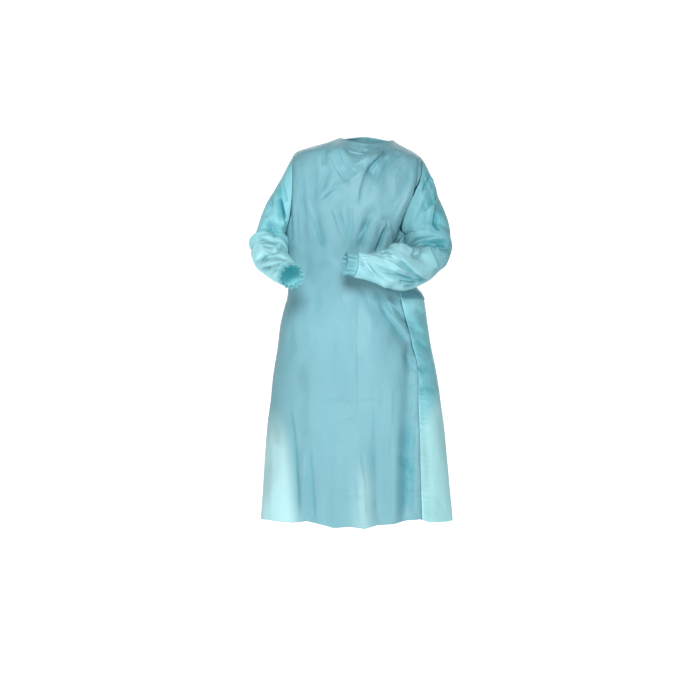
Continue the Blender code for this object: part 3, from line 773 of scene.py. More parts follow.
@dataclass
class BodyPanels:
    """The front and the two back panels."""

    body: Body
    finish: bpy.types.Material
    back_finish: bpy.types.Material
    skirt_rows: int = 190
    armhole_rows: int = 86
    shoulder_rows: int = 12
    front_columns: int = 156
    back_columns: int = 96
    pucker_length: float = 17.0     # from one seam pucker to the next
    pucker_reach: float = 7.0       # how far puckers run into the panel
    pucker_height: float = 1.3
    hip_shade: float = 0.34       # how much painted shade lies over the left hip, where slack film also lies doubled
    hip_top: float = -470.0         # height at which that painted shade starts
    hip_foot: float = -830.0        # and where it has gone at the middle of the gown
    slack_below_waist: float = 1.0  # how much higher the puckers of the side seams are there
    ripple: float = 1.8             # height of the random waves of the film
    long_waves: tuple[float, float, float] = (70.0, 90.0, 220.0)
    short_waves: tuple[float, float, float] = (28.0, 40.0, 80.0)
    full_shade_depth: float = 20.0     # depth of a crease at which its painted shade is full
    pale_back_z: float = -790.0     # below this the back gets more painted backlight
    pale_back_x: float = 172.0      # and from higher up where it is wider than this
    pale_edge_z: float = -735.0     # below this the right edge of the front gets it
    pale_edge_x: float = 165.0      # how far from the middle that edge starts
    pale_edge_foot: float = -900.0  # at this height; it widens below
    pale_middle_z: float = -870.0   # below this the middle of the front gets it
    pale_middle_x: float = 17.0
    pale_middle_half: float = 30.0
    pale_middle: float = 0.55       # how much painted backlight it gets at most
    # The path of each side's seam, hem to neck, and the direction out along it.
    seams: dict[Side, tuple[Array, Array]] = field(default_factory=dict)
    hem: tuple[Hem, ...] = (
        Hem(-300, 0), Hem(-255, 8), Hem(-180, 5), Hem(-140, 12), Hem(-100, 4), Hem(-66, -5), Hem(-20, -1),
        Hem(20, -6), Hem(52, 2), Hem(100, 6), Hem(140, 14), Hem(175, 16), Hem(200, 6), Hem(300, 0),
    )

    def rows(self) -> tuple[Array, Array]:
        """Returns the height of every row, hem first, and how far the armhole cuts in."""
        skirt = np.linspace(self.body.HEM_Z, self.body.UNDERARM_Z, self.skirt_rows, endpoint=False)
        turn = np.linspace(math.pi, 0.0, self.armhole_rows)
        top = np.linspace(self.body.SHOULDER_Z, 0.0, self.shoulder_rows + 1)[1:]
        heights = np.concatenate((skirt, self.body.armhole_height(turn), top))
        cut = self.body.ARMHOLE_TURN * np.sin(turn)
        cuts = np.concatenate((np.zeros_like(skirt), cut, np.zeros_like(top)))
        return heights, cuts

    def spans(self, panel: Panel, edges: Array, cut: Array) -> tuple[Array, Array]:
        """Returns the first and last angle of each row of a panel."""
        left, right, outer, inner = np.moveaxis(edges, -1, 0)
        if panel is Panel.FRONT:
            return right + cut, left - cut
        if panel is Panel.BACK_LEFT:
            return left + cut, outer
        return inner, right - cut

    def lap(self, panel: Panel, share: Array) -> Array:
        """Returns how far a back panel stands out where the two overlap."""
        half = self.body.LAP / 2
        if panel is Panel.BACK_LEFT:
            return half * ease((share - 0.45) / 0.3)
        if panel is Panel.BACK_RIGHT:
            return -half * ease((0.55 - share) / 0.3)
        return np.zeros_like(share)

    def grid(self, panel: Panel) -> tuple[Array, Array, Array]:
        """Works out a panel.

        Args:
            panel: Which one.

        Returns:
            Its points, the share of painted backlight at each, and the painted shade.
        """
        heights, cuts = self.rows()
        start, end = self.spans(panel, table_at(self.body.edges, heights), cuts)
        start = start + self.body.degrees_of(self.body.SEAM / 2, start, heights)
        end = end - self.body.degrees_of(self.body.SEAM / 2, end, heights)
        count = self.front_columns if panel is Panel.FRONT else self.back_columns
        share = np.linspace(0.0, 1.0, count + 1)[None, :]
        angle = start[:, None] + (end - start)[:, None] * share
        z = np.repeat(heights[:, None], count + 1, axis=1)
        share = np.repeat(share, len(heights), axis=0)
        points, out = self.body.surface(angle, z)
        fine, painted_shade = self.fine_form(panel, points, out, share, heights)
        lift = self.lap(panel, share) + fine
        points = points + out * lift[..., None]
        reach = ease(1 - (z - self.body.HEM_Z) / 130)
        hem = np.array([(h.x, h.rise) for h in self.hem])
        points[..., 2] += np.interp(points[..., 0], hem[:, 0], hem[:, 1]) * reach
        if panel is Panel.FRONT:
            self.seams = {Side.LEFT: (points[:, -1], out[:, -1]), Side.RIGHT: (points[:, 0], out[:, 0])}
        return points, self.painted_backlight_share(panel, points), painted_shade

    def fine_form(
        self, panel: Panel, points: Array, out: Array, share: Array, heights: Array
    ) -> tuple[Array, Array]:
        """Returns how far creases, waves and seam puckers move the film out, and the painted shade."""
        faces = ease(np.abs(out[..., 1]) / 0.5)
        total, painted_shade = np.zeros_like(share), np.zeros_like(share)
        # Painted shade in the troughs of the creases.
        if panel is Panel.FRONT:
            total, painted_shade = crease_field(self.body.FRONT_CREASES, points[..., 0], points[..., 2])
            total, painted_shade = total * faces, painted_shade * faces / self.full_shade_depth
        else:
            total, painted_shade = crease_field(self.body.BACK_CREASES, points[..., 0], points[..., 2])
            behind = faces * ease(points[..., 1] / 50)
            total, painted_shade = total * behind, painted_shade * behind / self.full_shade_depth
        # Painted shade over the left hip, where slack film also lies doubled; folded is the painted shade in
        # the troughs of the hip creases.
        if panel is Panel.BACK_LEFT:
            x, z = np.abs(points[..., 0]), points[..., 2]
            below, above = ease((self.hip_top - z) / 60), ease((z - self.hip_foot - 0.3 * x) / 70)
            hip = below * above
            ahead = ease(-points[..., 1] / 50)
            height, folded = crease_field(self.body.HIP_CREASES, points[..., 0], points[..., 2])
            total += height * ahead
            painted_shade += (self.hip_shade * hip + folded / self.full_shade_depth) * ahead
        edge_room = ease(np.minimum(share, 1 - share) / 0.05)
        total += self.ripple * crinkle(points, self.long_waves, 3.0) * edge_room
        total += 0.4 * self.ripple * crinkle(points, self.short_waves, 9.0) * edge_room
        slack = (0.6 + self.slack_below_waist * ease((self.body.WAIST_Z - heights) / 120))[:, None]
        row_length = np.linalg.norm(np.diff(points, axis=1), axis=-1).sum(axis=1)[:, None]
        drift = 1.6 * np.sin(2 * math.pi * heights / 61.0) + 1.1 * np.sin(2 * math.pi * heights / 143.0)
        wave = np.sin(2 * math.pi * heights / self.pucker_length + drift)
        wave = (wave * (0.55 + 0.45 * np.sin(2 * math.pi * heights / 93.0)))[:, None]
        for k, near in enumerate((share * row_length, (1 - share) * row_length)):
            if SEWN_EDGES[panel][k]:
                off = near / self.pucker_reach
                total += self.pucker_height * wave * slack * off * np.exp(1 - off)
        return total, painted_shade

    def painted_backlight_share(self, panel: Panel, points: Array) -> Array:
        """Returns the share of painted backlight, for light behind the film, from 0 to 1."""
        x, z = points[..., 0], points[..., 2]
        if panel is not Panel.FRONT:
            outer = np.clip(np.abs(x) - self.pale_back_x, 0.0, 60.0)
            ahead = ease((60 - points[..., 1]) / 130)
            down = ease((self.pale_back_z - z + 1.4 * outer) / (260 - 190 * ahead))
            return down * (0.35 + 0.65 * ahead)
        edge = -x - self.pale_edge_x + 0.12 * (self.pale_edge_foot - z)
        wide = ease(edge / 46) * ease((self.pale_edge_z - z) / 150)
        away = (x - self.pale_middle_x) / self.pale_middle_half
        middle = self.pale_middle * np.exp(-(away**2)) * ease((self.pale_middle_z - z) / 150)
        return np.clip(wide + middle, 0.0, 1.0)

    def build(self) -> list[bpy.types.Object]:
        """Builds the three panels."""
        made = []
        for panel in Panel:
            points, painted_backlight, painted_shade = self.grid(panel)
            film = self.finish if panel is Panel.FRONT else self.back_finish
            made.append(film_shell(f"{panel.value}_film", points, False, film, painted_backlight, painted_shade))
        return made


@dataclass
class SeamWelds:
    """The heat seals that join the panels: a row of small ribs pressed across each seam."""

    finish: bpy.types.Material
    spacing: float = 5.5        # from one rib to the next
    across: float = 3.6         # a rib's size across the seam
    along: float = 2.0          # and along it
    height: float = 0.9
    uneven: float = 0.35        # how much the ribs differ in size
    seed: int = 4

    def tree(self) -> bpy.types.NodeTree:
        """Builds the nodes that set ribs along a path."""
        made = bpy.data.node_groups.new("seam_welds", "GeometryNodeTree")
        sockets = made.interface
        sockets.new_socket("Path", in_out="INPUT", socket_type="NodeSocketGeometry")
        for word in ("Spacing", "Across", "Along", "Height", "Smallest"):
            sockets.new_socket(word, in_out="INPUT", socket_type="NodeSocketFloat")
        sockets.new_socket("Film", in_out="INPUT", socket_type="NodeSocketMaterial")
        sockets.new_socket("Ribs", in_out="OUTPUT", socket_type="NodeSocketGeometry")
        given = add_node(made, "NodeGroupInput").outputs
        path = add_node(made, "GeometryNodeMeshToCurve", {"Mesh": given["Path"]}).outputs[0]
        spaced = add_node(
            made, "GeometryNodeResampleCurve", {"Curve": path, "Length": given["Spacing"]}, mode="LENGTH"
        ).outputs[0]
        out = add_node(
            made, "GeometryNodeInputNamedAttribute", {"Name": "out"}, data_type="FLOAT_VECTOR"
        ).outputs["Attribute"]
        upright = add_node(
            made, "FunctionNodeAlignRotationToVector", {"Vector": out}, axis="Z"
        ).outputs[0]
        down_seam = add_node(made, "GeometryNodeInputTangent").outputs[0]
        turned = add_node(
            made, "FunctionNodeAlignRotationToVector", {"Rotation": upright, "Vector": down_seam},
            axis="Y", pivot_axis="Z",
        ).outputs[0]
        size = add_node(
            made, "ShaderNodeCombineXYZ",
            {"X": given["Across"], "Y": given["Along"], "Z": given["Height"]},
        ).outputs[0]
        share = add_node(
            made, "FunctionNodeRandomValue", {"Min": given["Smallest"], "Max": 1.0, "Seed": self.seed},
            data_type="FLOAT",
        ).outputs["Value"]
        scale = add_node(
            made, "ShaderNodeVectorMath", {0: size, "Scale": share}, operation="SCALE"
        ).outputs[0]
        rib = add_node(made, "GeometryNodeMeshIcoSphere", {"Radius": 0.5, "Subdivisions": 2}).outputs[0]
        ribs = add_node(
            made, "GeometryNodeInstanceOnPoints",
            {"Points": spaced, "Instance": rib, "Rotation": turned, "Scale": scale},
        ).outputs[0]
        real = add_node(made, "GeometryNodeRealizeInstances", {"Geometry": ribs}).outputs[0]
        filmed = add_node(
            made, "GeometryNodeSetMaterial", {"Geometry": real, "Material": given["Film"]}
        ).outputs[0]
        add_node(made, "NodeGroupOutput", {"Ribs": filmed})
        return made

    def build(self, side: Side, path: Array, out: Array, tree: bpy.types.NodeTree) -> bpy.types.Object:
        """Builds the welds of one seam.

        Args:
            side: The side of the gown that the seam is on.
            path: The seam's points in millimetres, hem to neck.
            out: The direction out of the film at each point.
            tree: The nodes that set ribs along a path.

        Returns:
            The new object, a plain mesh.
        """
        line = bpy.data.meshes.new("seam_path")
        steps = [(k, k + 1) for k in range(len(path) - 1)]
        line.from_pydata((path * MM).tolist(), steps, [])
        layer = line.attributes.new("out", "FLOAT_VECTOR", "POINT")
        layer.data.foreach_set("vector", out.reshape(-1).astype(np.float32))
        guide = bpy.data.objects.new("seam_path", line)
        bpy.context.scene.collection.objects.link(guide)
        modifier = guide.modifiers.new("welds", "NODES")
        modifier.node_group = tree
        values = {
            "Spacing": self.spacing * MM, "Across": self.across * MM, "Along": self.along * MM,
            "Height": self.height * MM, "Smallest": 1 - self.uneven, "Film": self.finish,
        }
        for item in tree.interface.items_tree:
            if item.in_out == "INPUT" and item.name in values:
                modifier[item.identifier] = values[item.name]
        seen = guide.evaluated_get(bpy.context.evaluated_depsgraph_get())
        mesh = bpy.data.meshes.new_from_object(seen)
        bpy.data.objects.remove(guide)
        mesh.name = f"seam_weld_{side.word}"
        mesh.shade_smooth()
        made = bpy.data.objects.new(mesh.name, mesh)
        bpy.context.scene.collection.objects.link(made)
        return made


# Sleeves


@dataclass
class Sleeve:
    """A long sleeve, from just off the armhole to the gathers at the wrist."""

    body: Body
    side: Side
    finish: bpy.types.Material
    rings: tuple[Ring, ...]
    folds: tuple[SleeveFold, ...]
    creases: tuple[Crease, ...]
    cap_leaves: tuple[float, float, float]
    bulges: tuple[SleeveFold, ...]      # where the film bellies out towards the body
    pale_from: float                    # how far down its painted backlight starts
    palest: float                       # and the most painted backlight it gets
    pale_over: float = 0.3              # the part of the length over which that grows
    around: int = 176
    cap_rows: int = 70
    tube_rows: int = 150
    elbow_ring: int = 4         # from this ring on, the outside of the sleeve is its underside
    cap_pull: float = 0.40      # how long the cap keeps to the way in which it leaves the armhole
    cap_land: float = 0.55      # and how long it keeps to the way of the first ring
    cap_share: float = 0.36     # the part of the length between the armhole and the first ring
    cap_room: float = 110.0     # where the cap is shorter than this, its folds are lower
    cap_gap: float = 0.3        # from the armhole's edge to the cap
    wrist_gathers: int = 26
    wrist_gather: float = 1.6   # their height
    wrist_reach: float = 0.10   # the part of the length that they run up
    ripple: float = 1.1         # height of the random waves of the film
    long_waves: tuple[float, float, float] = (46.0, 46.0, 60.0)
    short_waves: tuple[float, float, float] = (18.0, 18.0, 26.0)
    full_shade_depth: float = 15.0     # depth of a crease at which its painted shade is full
    frames: list[tuple[Array, Array, Array, float, float, Array]] = field(default_factory=list)

    def __post_init__(self) -> None:
        """Works out the frame of each ring: middle, outer and front directions, radii, axis."""
        middles = np.array([(r.x, r.y, r.z) for r in self.rings], dtype=float)
        for k, ring in enumerate(self.rings):
            fall = float(ease(np.array(k / self.elbow_ring)))
            hang = np.array((self.side.value * (1 - fall), 0.0, -fall))
            axis = unit(middles[min(k + 1, len(middles) - 1)] - middles[max(k - 1, 0)])
            first = unit(hang - axis * hang.dot(axis))
            second = np.cross(axis, first) * self.side.value
            self.frames.append((middles[k], first, second, ring.outer, ring.front, axis))

    def ring_point(self, k: int, turn: Array) -> Array:
        """Returns points of a ring; a turn of 0 is its outer side, a quarter turn its front."""
        middle, first, second, outer, front, _ = self.frames[k]
        cos, sin = np.cos(turn)[..., None], np.sin(turn)[..., None]
        return middle + first * (outer * cos) + second * (front * sin)

    def base(self, turn: Array, down: Array) -> Array:
        """Returns the sleeve without its folds; down runs from 0 at the armhole to 1."""
        spine = [self.ring_point(k, turn) for k in range(len(self.frames))]
        tube = self.spline(spine, np.clip((down - self.cap_share) / (1 - self.cap_share), 0, 1))
        hole = self.body.armhole_point(self.side, turn)
        centre = np.stack((
            hole[..., 0], np.zeros_like(turn),
            np.full_like(turn, float(self.body.armhole_height(np.array(math.pi / 2)))),
        ), axis=-1)
        low = ((1 - np.cos(turn)) / 2) ** 2
        away = np.zeros_like(hole)
        away[..., 0] = self.side.value * (self.cap_gap + self.body.SEAM * low)
        start = hole + unit(centre - hole) * self.body.SEAM + away
        straight = spine[0] - start
        length = np.linalg.norm(straight, axis=-1, keepdims=True)
        low = low[..., None]
        leave = unit(np.array(self.cap_leaves)) * length * self.cap_pull * (1 - low) + straight * low
        arrive = unit(spine[1] - spine[0]) * length * self.cap_land
        cap = hermite(start, spine[0], leave, arrive, np.clip(down / self.cap_share, 0, 1)[..., None])
        return np.where((down >= self.cap_share)[..., None], tube, cap)

    @staticmethod
    def spline(points: list[Array], t: Array) -> Array:
        """Returns a smooth curve through points, with t from 0 to 1."""
        stack = np.stack(points)
        place = t * (len(points) - 1)
        i = np.minimum(place.astype(int), len(points) - 2)
        padded = np.concatenate((2 * stack[:1] - stack[1:2], stack, 2 * stack[-1:] - stack[-2:-1]))
        rows = np.indices(t.shape)
        before, low, high, after = (padded[(i + k, *rows)] for k in range(4))
        return hermite(low, high, (high - before) / 2, (after - low) / 2, (place - i)[..., None])

    def fold(self, turn: Array, down: Array) -> Array:
        """Returns how far the soft folds move the film out."""
        total, belly = np.zeros_like(turn), np.zeros_like(turn)
        for row in self.folds + self.bulges:
            off_round = (np.degrees(turn) - row.round + 180) % 360 - 180
            off_down = (down - row.down - row.slip * off_round) / row.half_down
            form = row.height * np.exp(-off_down**2 - (off_round / row.half_round) ** 2)
            if row in self.bulges:
                belly += form
            else:
                total += form
        reach = np.linalg.norm(self.ring_point(0, turn) - self.body.armhole_point(self.side, turn), axis=-1)
        room = np.maximum(ease(reach / self.cap_room), ease((down - self.cap_share) / 0.08))
        return (total * room + belly) * ease(down / 0.12) * ease((1 - down) / 0.12)

    def surface(self, turn: Array, down: Array) -> tuple[Array, Array]:
        """Returns the points of the sleeve with its soft folds, and the direction out."""
        step = 1e-3
        along = self.base(turn, np.minimum(down + step, 1.0)) - self.base(turn, np.maximum(down - step, 0.0))
        around = self.base(turn + step, down) - self.base(turn - step, down)
        out = unit(np.cross(around, along)) * self.side.value
        return self.base(turn, down) + out * self.fold(turn, down)[..., None], out

    def grid(self) -> tuple[Array, Array]:
        """Returns the points of the sleeve with all its creases, and the painted shade in their troughs."""
        downs = np.concatenate((
            np.linspace(0, self.cap_share, self.cap_rows, endpoint=False),
            np.linspace(self.cap_share, 1.0, self.tube_rows),
        ))
        turns = np.linspace(0, 2 * math.pi, self.around, endpoint=False)
        down, turn = np.meshgrid(downs, turns, indexing="ij")
        points, out = self.surface(turn, down)
        faces = ease(-out[..., 1] / 0.45)
        room = ease(down / 0.06) * ease((1 - down) / 0.05)
        # Painted shade in the troughs of the creases.
        fine, painted_shade = crease_field(self.creases, points[..., 0], points[..., 2])
        fine, painted_shade = fine * faces, painted_shade * faces * room / self.full_shade_depth
        fine += self.ripple * crinkle(points, self.long_waves, 20.0 + self.side.value)
        fine += 0.5 * self.ripple * crinkle(points, self.short_waves, 31.0 + self.side.value)
        wrist = ease((down - 1 + self.wrist_reach) / self.wrist_reach)
        uneven = 0.7 + 0.3 * np.sin(3 * turn + 1.0)
        gathers = self.wrist_gather * np.cos(self.wrist_gathers * turn) * wrist * uneven
        points = points + out * (fine * room + gathers * ease((1 - down) / 0.01))[..., None]
        return points, painted_shade

    def build(self) -> bpy.types.Object:
        """Builds the sleeve."""
        grid, painted_shade = self.grid()
        if self.side is Side.RIGHT:
            grid, painted_shade = grid[:, ::-1], painted_shade[:, ::-1]
        # Painted backlight, paler down the forearm.
        down = np.linspace(0, self.cap_rows + self.tube_rows - 1, len(grid)) / len(grid)
        pale = self.palest * ease((down - self.pale_from) / self.pale_over)
        painted_backlight = np.repeat(pale[:, None], self.around, axis=1)
        return film_shell(f"sleeve_{self.side.word}_film", grid, True, self.finish, painted_backlight, painted_shade)


SLEEVE_SHAPES = {
    Side.LEFT: {
        "rings": (
            Ring(205, -56, -288, 60, 58),
            Ring(206, -66, -316, 60, 57),
            Ring(200, -86, -345, 51, 54),
            Ring(172, -122, -366, 51, 49),
            Ring(124, -158, -376, 62, 46),
            Ring(86, -177, -377, 55, 43),
            Ring(52, -190, -376, 43, 38),
            Ring(22, -200, -373, 36, 34),
            Ring(-6, -209, -369, 33, 32),
        ),
        "folds": (
            SleeveFold(0.20, 20, 0.035, 60, -5, 0.0010),
            SleeveFold(0.30, 50, 0.030, 60, -6, -0.0012),
            SleeveFold(0.45, 120, 0.022, 70, -9, 0.0004),
            SleeveFold(0.50, 120, 0.022, 60, 6, 0.0),
            SleeveFold(0.55, 20, 0.022, 50, -5, 0.0008),
            SleeveFold(0.62, 100, 0.030, 40, -6, 0.0012),
            SleeveFold(0.70, 60, 0.030, 40, -5, -0.0012),
            SleeveFold(0.71, 180, 0.045, 45, 9, 0.0),
            SleeveFold(0.79, 205, 0.026, 45, -5, 0.0010),
            SleeveFold(0.80, 100, 0.024, 40, -4, 0.0012),
        ),
        "creases": (
            # Pleats at the cap and down the upper arm.
            Crease(((208, -103), (186, -142), (172, -176)), 5, 4.4, 1.0, 0.7),
            Crease(((221, -108), (204, -145), (188, -170)), 5, 4.4, 1.0, 0.7),
            Crease(((214, -96), (196, -132), (180, -160)), 4, -4.4, 1.0, 0.5),
            Crease(((240, -160), (214, -186), (182, -216)), 8, -5.5, 1.0, 0.7),
            Crease(((226, -186), (220, -220), (216, -250), (236, -270)), 9, -7.0, 1.0, -0.6),
            Crease(((197, -96), (204, -120), (214, -146)), 6, -4.1, 1.0, 0.6),
            Crease(((187, -112), (194, -132), (201, -158)), 6, -3.5, 1.0, 0.6),
            Crease(((206, -150), (212, -176), (222, -196)), 7, -3.2, 1.0, 0.5),
            Crease(((190, -150), (180, -190), (160, -232), (146, -270)), 10, 5.4, 1.0, 0.4),
            Crease(((228, -214), (222, -252), (236, -270)), 10, -5.4, 1.0, 0.6),
            Crease(((196, -200), (192, -240), (186, -276)), 11, -3, 1.0, 0.5),
            # Round the elbow.
            Crease(((164, -302), (194, -299), (222, -295), (262, -295)), 7, -10.1, 1.0, 0.85),
            Crease(((206, -311), (230, -306), (256, -309)), 6, -6.8, 1.0, 0.7),
            Crease(((228, -314), (244, -321), (262, -318)), 5, -5.4, 1.0, 0.6),
            Crease(((192, -300), (205, -339), (219, -367), (232, -394)), 9, 8.1, 1.0, 0.85),
            Crease(((214, -372), (224, -392)), 8, -4.1, 1.0, 0.5),
            # The lip over the crook of the arm, and the small hollow below it.
            Crease(((112, -308), (138, -320), (158, -336)), 6, 6.2, 1.0, 0.8),
            Crease(((146, -336), (160, -343), (173, -338), (179, -318)), 5, -6.2, 1.0, 0.6),
            Crease(((152, -327), (158, -329)), 5, -8.1, 1.0, 0),
            Crease(((60, -334), (68, -334), (79, -328)), 4, -4.3, 1.0, 0.6),
            Crease(((76, -324), (86, -332), (96, -342)), 4, -4.1, 1.0, 0.7),
            # Long creases that fan out from the cuff to the elbow.
            Crease(((80, -336), (130, -366), (161, -393), (194, -408)), 7, 5.0, 1.0, -0.85),
            Crease(((62, -390), (116, -399), (161, -412), (206, -413)), 5, -5.0, 1.0, 0.8),
            Crease(((26, -372), (46, -394), (66, -416), (89, -430)), 8, 4.6, 1.0, 0.8),
            Crease(((106, -350), (130, -367), (143, -378), (157, -392), (181, -408), (206, -411)),
                   6, -8.9, 1.0, 0.85),
            Crease(((44, -366), (83, -384), (111, -394), (143, -405), (176, -411)), 6, -5.4, 1.0, 0.85),
            Crease(((100, -384), (138, -394), (162, -406)), 5, -4.1, 1.0, 0.8),
            Crease(((56, -352), (96, -366), (130, -384)), 6, 3.5, 1.0, 0.6),
            Crease(((-4, -342), (10, -354), (24, -374)), 5, -4.6, 1.0, 0.7),
            Crease(((-4, -338), (30, -344), (70, -352), (106, -352)), 7, 3.5, 1.0, 0.7),
            Crease(((18, -358), (40, -386), (75, -413), (100, -434)), 7, 5.4, 1.0, 0.85),
            Crease(((4, -356), (26, -382), (52, -404)), 6, -4.1, 1.0, 0.6),
            # The sag under the forearm.
            Crease(((110, -414), (143, -419), (172, -419)), 6, -8.1, 1.0, 0.8),
            Crease(((124, -430), (151, -430), (176, -427)), 5, -5.4, 1.0, 0.6),
        ),
        "cap_leaves": (0.72, -0.05, -0.70),
        "pale_from": 0.42,
        "palest": 0.8,
        "bulges": (
            SleeveFold(0.36, 150, 0.07, 40, 15, 0.0),
            SleeveFold(0.27, 140, 0.07, 34, 7, 0.0),
            SleeveFold(0.47, 178, 0.06, 40, 9, 0.0),
        ),
    },
    Side.RIGHT: {
        "rings": (
            Ring(-245, -26, -286, 43, 50),
            Ring(-248, -40, -304, 50, 52),
            Ring(-247, -62, -324, 53, 52),
            Ring(-243, -88, -341, 49, 50),
            Ring(-232, -126, -356, 43, 48),
            Ring(-214, -170, -373, 41, 43),
            Ring(-197, -212, -388, 37, 37),
            Ring(-185, -242, -397, 34, 34),
        ),
        "folds": (
            SleeveFold(0.23, 0, 0.085, 65, 11, 0.0),
            SleeveFold(0.18, 70, 0.040, 50, -4, 0.0006),
            SleeveFold(0.34, 100, 0.030, 60, -5, -0.0006),
            SleeveFold(0.405, 20, 0.020, 75, -9, 0.0),
            SleeveFold(0.455, 20, 0.024, 80, 7, 0.0),
            SleeveFold(0.51, 40, 0.018, 65, -5, 0.0006),
            SleeveFold(0.58, 90, 0.024, 60, -5, 0.0010),
            SleeveFold(0.66, 60, 0.026, 55, -5, -0.0010),
            SleeveFold(0.74, 100, 0.026, 60, -4, 0.0),
        ),
        "creases": (
            # Down the upper arm.
            Crease(((-223, -125), (-215, -173), (-200, -237)), 5, -6.0, 1.0, 0.6),
            Crease(((-210, -134), (-203, -160), (-196, -186)), 4, -5.0, 1.0, 0.5),
            Crease(((-258, -224), (-232, -242), (-204, -262)), 8, 7.0, 1.0, -0.85),
            Crease(((-262, -242), (-238, -262), (-216, -282)), 7, -5.0, 1.0, 0.6),
            Crease(((-228, -124), (-221, -178), (-211, -218), (-202, -260)), 8, 6.2, 1.0, 0.7),
            Crease(((-219, -166), (-209, -206), (-199, -240)), 6, -8.9, 1.0, 0.8),
            Crease(((-238, -140), (-240, -200)), 9, -3.2, 1.0, 0.5),
            Crease(((-266, -222), (-245, -236), (-226, -250), (-202, -272)), 6, 6.8, 1.0, 0.85),
            Crease(((-252, -240), (-232, -257), (-212, -276)), 7, -6.2, 1.0, 0.7),
            Crease(((-252, -256), (-244, -276)), 9, -2.7, 1.0, 0.4),
            # Round the elbow.
            Crease(((-282, -282), (-260, -290), (-238, -295), (-210, -300)), 6, -8.1, 1.0, 0.85),
            Crease(((-262, -308), (-244, -312), (-228, -313)), 5, -5.9, 1.0, 0.8),
            Crease(((-276, -300), (-262, -318), (-240, -322)), 7, 3.5, 1.0, 0.5),
            Crease(((-221, -322), (-212, -320), (-203, -316)), 5, -5.1, 1.0, 0.6),
            Crease(((-210, -306), (-198, -318), (-186, -334)), 5, -6.8, 1.0, 0.8),
            # Short creases that run together towards the cuff.
            Crease(((-279, -355), (-247, -336), (-197, -323)), 6, -6.0, 1.0, 0.7),
            Crease(((-272, -380), (-252, -374), (-236, -373)), 5, -5.0, 1.0, 0.6),
            Crease(((-218, -426), (-203, -401), (-186, -387)), 5, -5.0, 1.0, 0.6),
            Crease(((-292, -364), (-271, -347), (-250, -332)), 6, -5.4, 1.0, 0.85),
            Crease(((-250, -327), (-232, -330)), 4, -4.6, 1.0, 0.5),
            Crease(((-238, -336), (-218, -330)), 4, -4.6, 1.0, 0.6),
            Crease(((-274, -360), (-249, -350), (-227, -347), (-205, -351), (-178, -358)),
                   6, -6.2, 1.0, 0.85),
            Crease(((-262, -344), (-240, -338), (-212, -338), (-190, -344)), 6, 4.1, 1.0, 0.7),
            Crease(((-270, -381), (-249, -377), (-222, -368), (-196, -364)), 6, -5.9, 1.0, 0.85),
            Crease(((-236, -389), (-208, -381), (-180, -376)), 5, -5.9, 1.0, 0.85),
            Crease(((-256, -366), (-224, -358), (-192, -356)), 6, 3.5, 1.0, 0.6),
            Crease(((-240, -398), (-216, -392), (-192, -386)), 5, 4.1, 1.0, 0.6),
            Crease(((-206, -398), (-214, -414), (-221, -430)), 5, -5.9, 1.0, 0.8),
            Crease(((-212, -400), (-195, -387), (-176, -379)), 5, -4.9, 1.0, 0.8),
        ),
        "cap_leaves": (-0.60, -0.05, -0.80),
        "pale_from": 0.36,
        "palest": 1.0,
        "bulges": (
            SleeveFold(0.40, 175, 0.06, 45, 9, 0.0),
        ),
    },
}


@dataclass
class Cuff:
    """The elastic cuff with its short frill, which carries on from a sleeve's end."""

    sleeve: Sleeve
    finish: bpy.types.Material
    length: float = 30.0
    gap: float = 1.1            # from the sleeve's end
    pinch: float = 4.0          # how far the elastic draws the cuff in
    waves: int = 13             # gathers that the elastic makes
    wave: float = 1.8           # their height at the elastic
    frill_wave: float = 2.6     # and at the free edge
    elastic_end: float = 0.6    # the part of the length that is elastic
    rings: int = 40
    points_a_wave: int = 16
    small_gather: float = 0.3   # height of the smaller gathers between
    threads: int = 3            # rows of elastic thread
    thread_height: float = 0.5

    def build(self) -> bpy.types.Object:
        """Builds the cuff."""
        middle, first, second, outer, front, axis = self.sleeve.frames[-1]
        count = self.waves * self.points_a_wave
        turn = np.linspace(0, 2 * math.pi, count, endpoint=False)[None, :]
        share = np.linspace(0, 1, self.rings)[:, None]
        start = ease(share / 0.28)
        wave = self.wave * start + (self.frill_wave - self.wave) * share
        pinch = self.pinch * start * (1 - 0.6 * ease((share - 0.5) / 0.5))
        threads = self.thread_height * np.cos(2 * math.pi * self.threads * share / self.elastic_end)
        threads = threads * ease(share / 0.1) * ease((self.elastic_end - share) / 0.1)
        gathers = self.small_gather * np.cos(3 * self.waves * turn + 2 * np.sin(turn)) * start
        grow = wave * np.cos(self.waves * turn) - pinch + threads + gathers
        points = (
            middle + axis * (self.gap + self.length * share)[..., None]
            + first * ((outer + grow) * np.cos(turn))[..., None]
            + second * ((front + grow) * np.sin(turn))[..., None]
        )
        if self.sleeve.side is Side.RIGHT:
            points = points[:, ::-1]
        return film_shell(f"cuff_{self.sleeve.side.word}_film", points, True, self.finish)


# Ties


